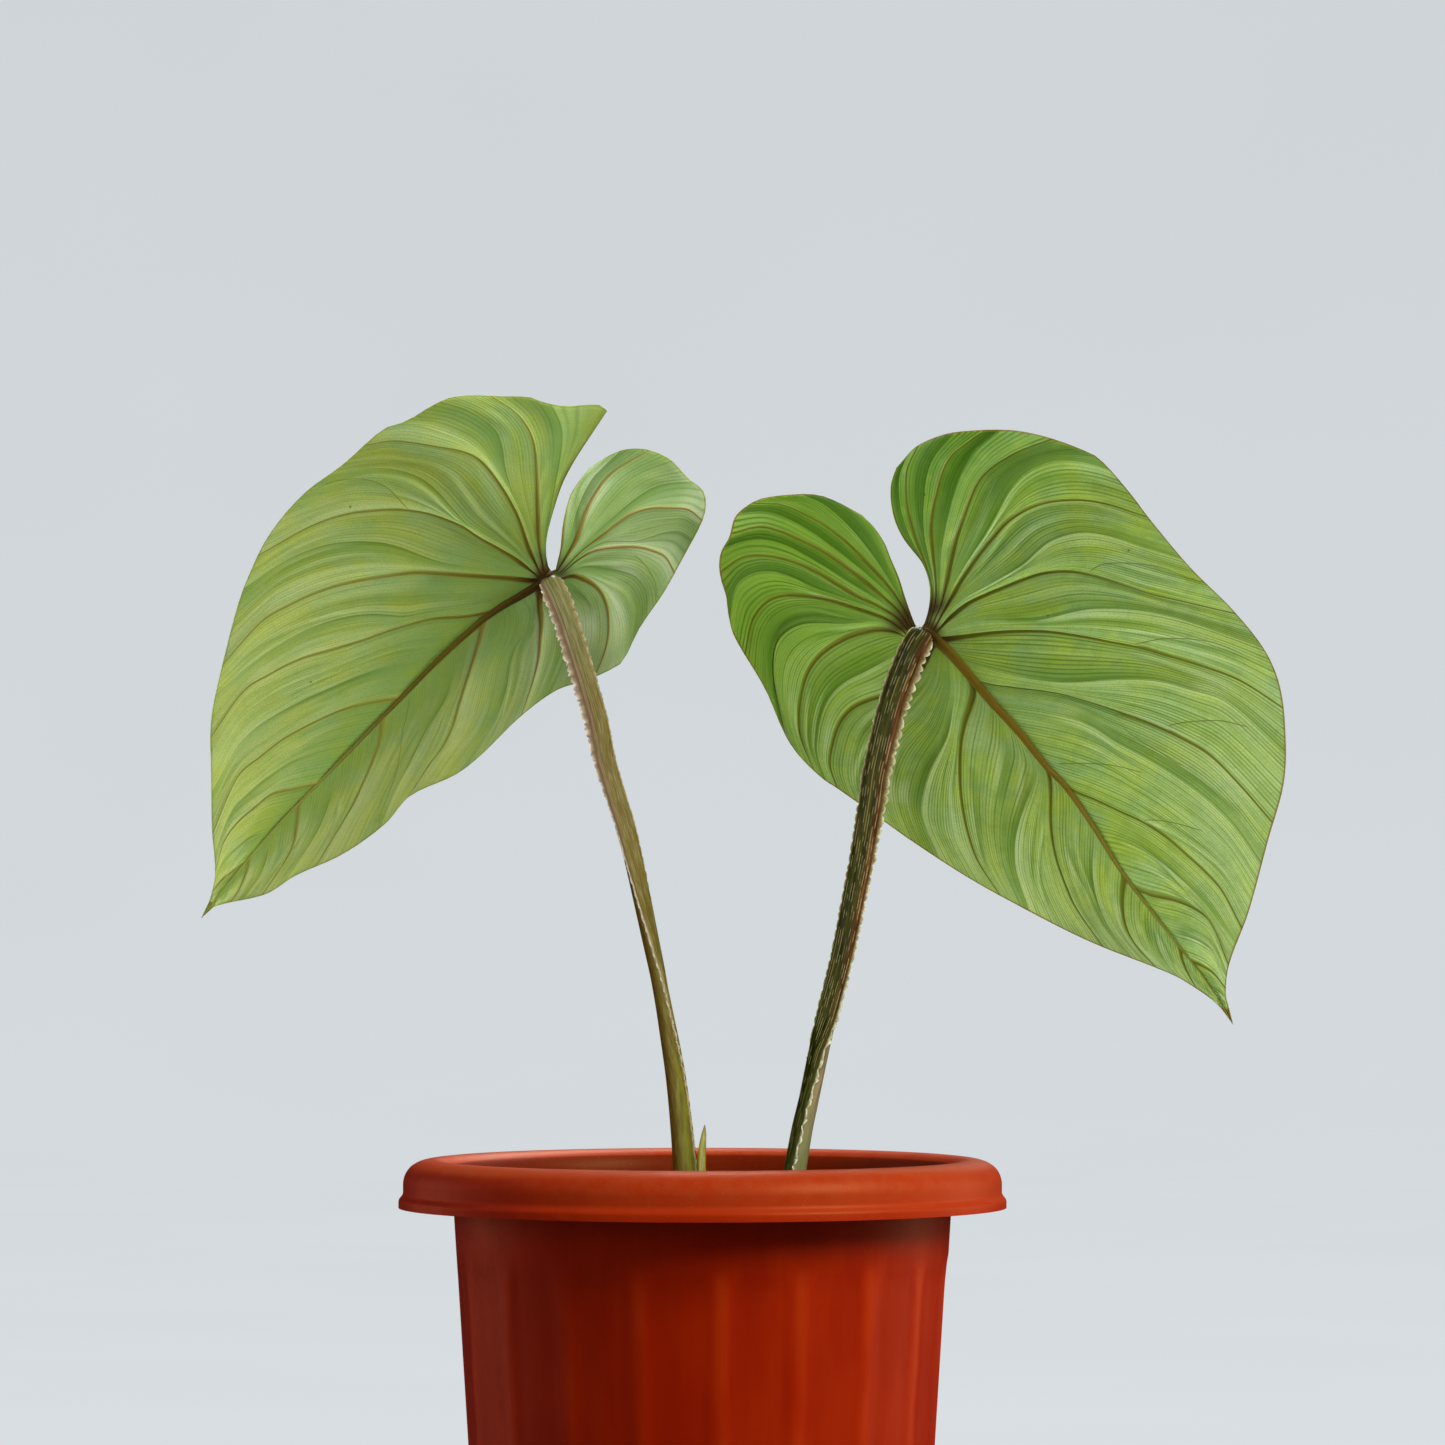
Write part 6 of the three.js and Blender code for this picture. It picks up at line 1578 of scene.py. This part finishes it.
def bark_chips(top_radius):
    """Uneven balls, drawn out and flattened, that lie about flat on the soil and clear of the rhizome."""
    ball, ball_faces = ball_template()
    spread = top_radius * CHIPS.spread * np.sqrt(draws.uniform(0, 1, CHIPS.count))
    turn = draws.uniform(0, 2 * np.pi, CHIPS.count)
    at = np.stack([spread * np.cos(turn), spread * np.sin(turn)], -1)
    size = np.stack([draws.uniform(low, high, CHIPS.count) for low, high in CHIPS.sizes], -1)
    size *= np.clip((top_radius - spread) / size[:, 0], CHIPS.smallest, 1)[:, None]
    clear = (np.abs(at[:, 1]) > CLEAR.half_width) | (np.abs(at[:, 0] - CLEAR.middle) > CLEAR.half_length)
    at, size = at[clear], size[clear]
    count = len(at)
    chips = ball * draws.uniform(*CHIPS.uneven, (count, len(ball), 1)) * size[:, None]
    turns = [draws.uniform(0, 6.28, count), draws.normal(0, CHIPS.tilt, count), draws.uniform(0, 6.28, count)]
    chips = turned(chips, np.stack(turns, 1))
    lift = soil_height(at[:, 0], at[:, 1]) + size[:, 2] * draws.uniform(0.0, CHIPS.lift, count)
    chips += np.concatenate([at, lift[:, None]], 1)[:, None]
    faces = (ball_faces[None] + len(ball) * np.arange(count)[:, None, None]).reshape(-1, 3)
    return chips.reshape(-1, 3), [faces], {"tone": np.repeat(draws.uniform(*CHIPS.tones, count), len(ball))}


def make_soil():
    """A filling with an uneven top, strewn with bark chips."""
    top_radius = body_radius(SOIL_LEVEL) - WALL - GAP
    body = merged([soil_ground(top_radius), bark_chips(top_radius)])
    make_piece("soil_mix", "soil", body, [soil_finish()], sharp=35)


make_soil()


# Floor, backdrop and light, with places and sizes in metres

STUDIO = SimpleNamespace(sides=96, floor=3.6, bend=2.0, bend_rings=24, top=5.2, below=0.0004)
# The sky's strength rises between these two over a span of y + rise z of the direction.
SKY = SimpleNamespace(strength=(0.12, 0.55), span=(-0.8, 0.6), rise=0.5)
LAMP_TARGET = (0.02, 0, 0.26)


def make_studio():
    """One pale surface of revolution: a level floor that curves up into a round wall, seen from inside."""
    angle = full_turn(STUDIO.sides)
    bend = np.linspace(-np.pi / 2, 0, STUDIO.bend_rings)
    bend_out, bend_up = STUDIO.bend * np.cos(bend), STUDIO.bend * (1 + np.sin(bend))
    radius = np.concatenate([[0.01, 1.5, 3.0], STUDIO.floor + bend_out, [STUDIO.floor + STUDIO.bend]])
    height = np.concatenate([[0, 0, 0], bend_up, [STUDIO.top]]) - STUDIO.below
    points, (wall, ends), _ = tube(lathed(radius[:, None], height[:, None], angle))
    studio = plain_object("studio", points, [wall, ends[:len(angle)]])
    studio.data.shade_smooth()
    m = Finish("studio_paint", 0.9, 0.1, Emission_Color=colour("DEE4E7"), Emission_Strength=0.76)
    studio.data.materials.append(m.done(m.mix("8E9294", "92969A", m.vary(400))))
    # The wall is there for the eye; the plant is lit by the sky and the lamps.
    studio.visible_diffuse = studio.visible_glossy = False
    studio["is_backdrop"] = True


def lit_group(name, *beginnings):
    """A group of the pieces whose names begin so, for a lamp that is screened off from the rest."""
    group = bpy.data.collections.new(name)
    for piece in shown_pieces():
        if piece.name.startswith(beginnings):
            group.objects.link(piece)
    return group


def add_lamp(name, place, size, power, tint, group=None):
    """A round soft lamp that faces the plant."""
    data = bpy.data.lights.new(name, "AREA")
    data.shape, data.size, data.energy, data.color = "DISK", size, power, tint
    lamp = linked(name, data)
    lamp.location = place
    lamp.visible_camera = False
    aim(lamp, LAMP_TARGET)
    if group:
        lamp.light_linking.receiver_collection = group


def make_sky():
    """Light from all round: bright behind and above the plant, dim on the eye's side and from below."""
    scene = bpy.context.scene
    world = scene.world or bpy.data.worlds.new("sky")
    scene.world = world
    world.use_nodes = True
    tree = world.node_tree
    background = tree.nodes["Background"]
    direction, parts, ramp, sway = (tree.nodes.new("ShaderNode" + kind)
                                    for kind in ("TexCoord", "SeparateXYZ", "MapRange", "Math"))
    sway.operation = "MULTIPLY_ADD"
    sway.inputs[1].default_value = SKY.rise
    tree.links.new(direction.outputs["Generated"], parts.inputs[0])
    tree.links.new(parts.outputs[2], sway.inputs[0])
    tree.links.new(parts.outputs[1], sway.inputs[2])
    tree.links.new(sway.outputs[0], ramp.inputs["Value"])
    for key, value in zip(("From Min", "From Max", "To Min", "To Max"), (*SKY.span, *SKY.strength)):
        ramp.inputs[key].default_value = value
    tree.links.new(ramp.outputs[0], background.inputs["Strength"])
    background.inputs["Color"].default_value = colour("EAECEC")
    world.cycles_visibility.glossy = False
    scene.view_settings.view_transform = "Standard"


make_studio()
make_sky()
POT_GROUP = lit_group("pot_group", "pot", "soil", "rhizome")
LEAF_GROUP = lit_group("leaf_group", "leaf", "midrib", "stalk", "frill", "sheath")
LEFT_GROUP = lit_group("left_group", "leaf_left", "midrib_left")
RIGHT_GROUP = lit_group("right_group", "leaf_right", "midrib_right")
add_lamp("key", (1.9, -1.5, 1.7), 1.6, 40, (1.0, 0.98, 0.95))
add_lamp("pot_key", (1.9, -1.5, 1.7), 1.3, 32, (1.0, 0.98, 0.95), POT_GROUP)
add_lamp("fill", (-1.6, -2.4, 0.8), 1.8, 3, (0.95, 0.98, 1.0), LEAF_GROUP)
add_lamp("pot_fill", (-1.6, -2.4, 0.8), 1.8, 7, (1.0, 0.4, 0.2), POT_GROUP)
add_lamp("leaf_fill", (-0.3, -2.0, 0.25), 1.2, 32, (1.0, 1.0, 1.0), LEAF_GROUP)
add_lamp("from_right", (1.5, -1.1, 0.1), 1.0, 43, (1.0, 1.0, 1.0), LEFT_GROUP)
add_lamp("from_left", (-1.5, -1.1, 0.1), 1.0, 56, (1.0, 1.0, 1.0), RIGHT_GROUP)
add_lamp("back", (0.1, 1.6, 1.9), 1.6, 92, (0.98, 1.0, 1.0), LEAF_GROUP)
add_lamp("rim", (0.6, 1.6, 1.9), 1.6, 38, (1.0, 0.88, 0.75), POT_GROUP)
add_lamp("right_edge", (1.8, 0.7, 0.35), 1.2, 7, (1.0, 0.55, 0.3), POT_GROUP)
add_lamp("left_edge", (-1.8, 0.9, 0.35), 1.2, 5.5, (1.0, 0.35, 0.2), POT_GROUP)
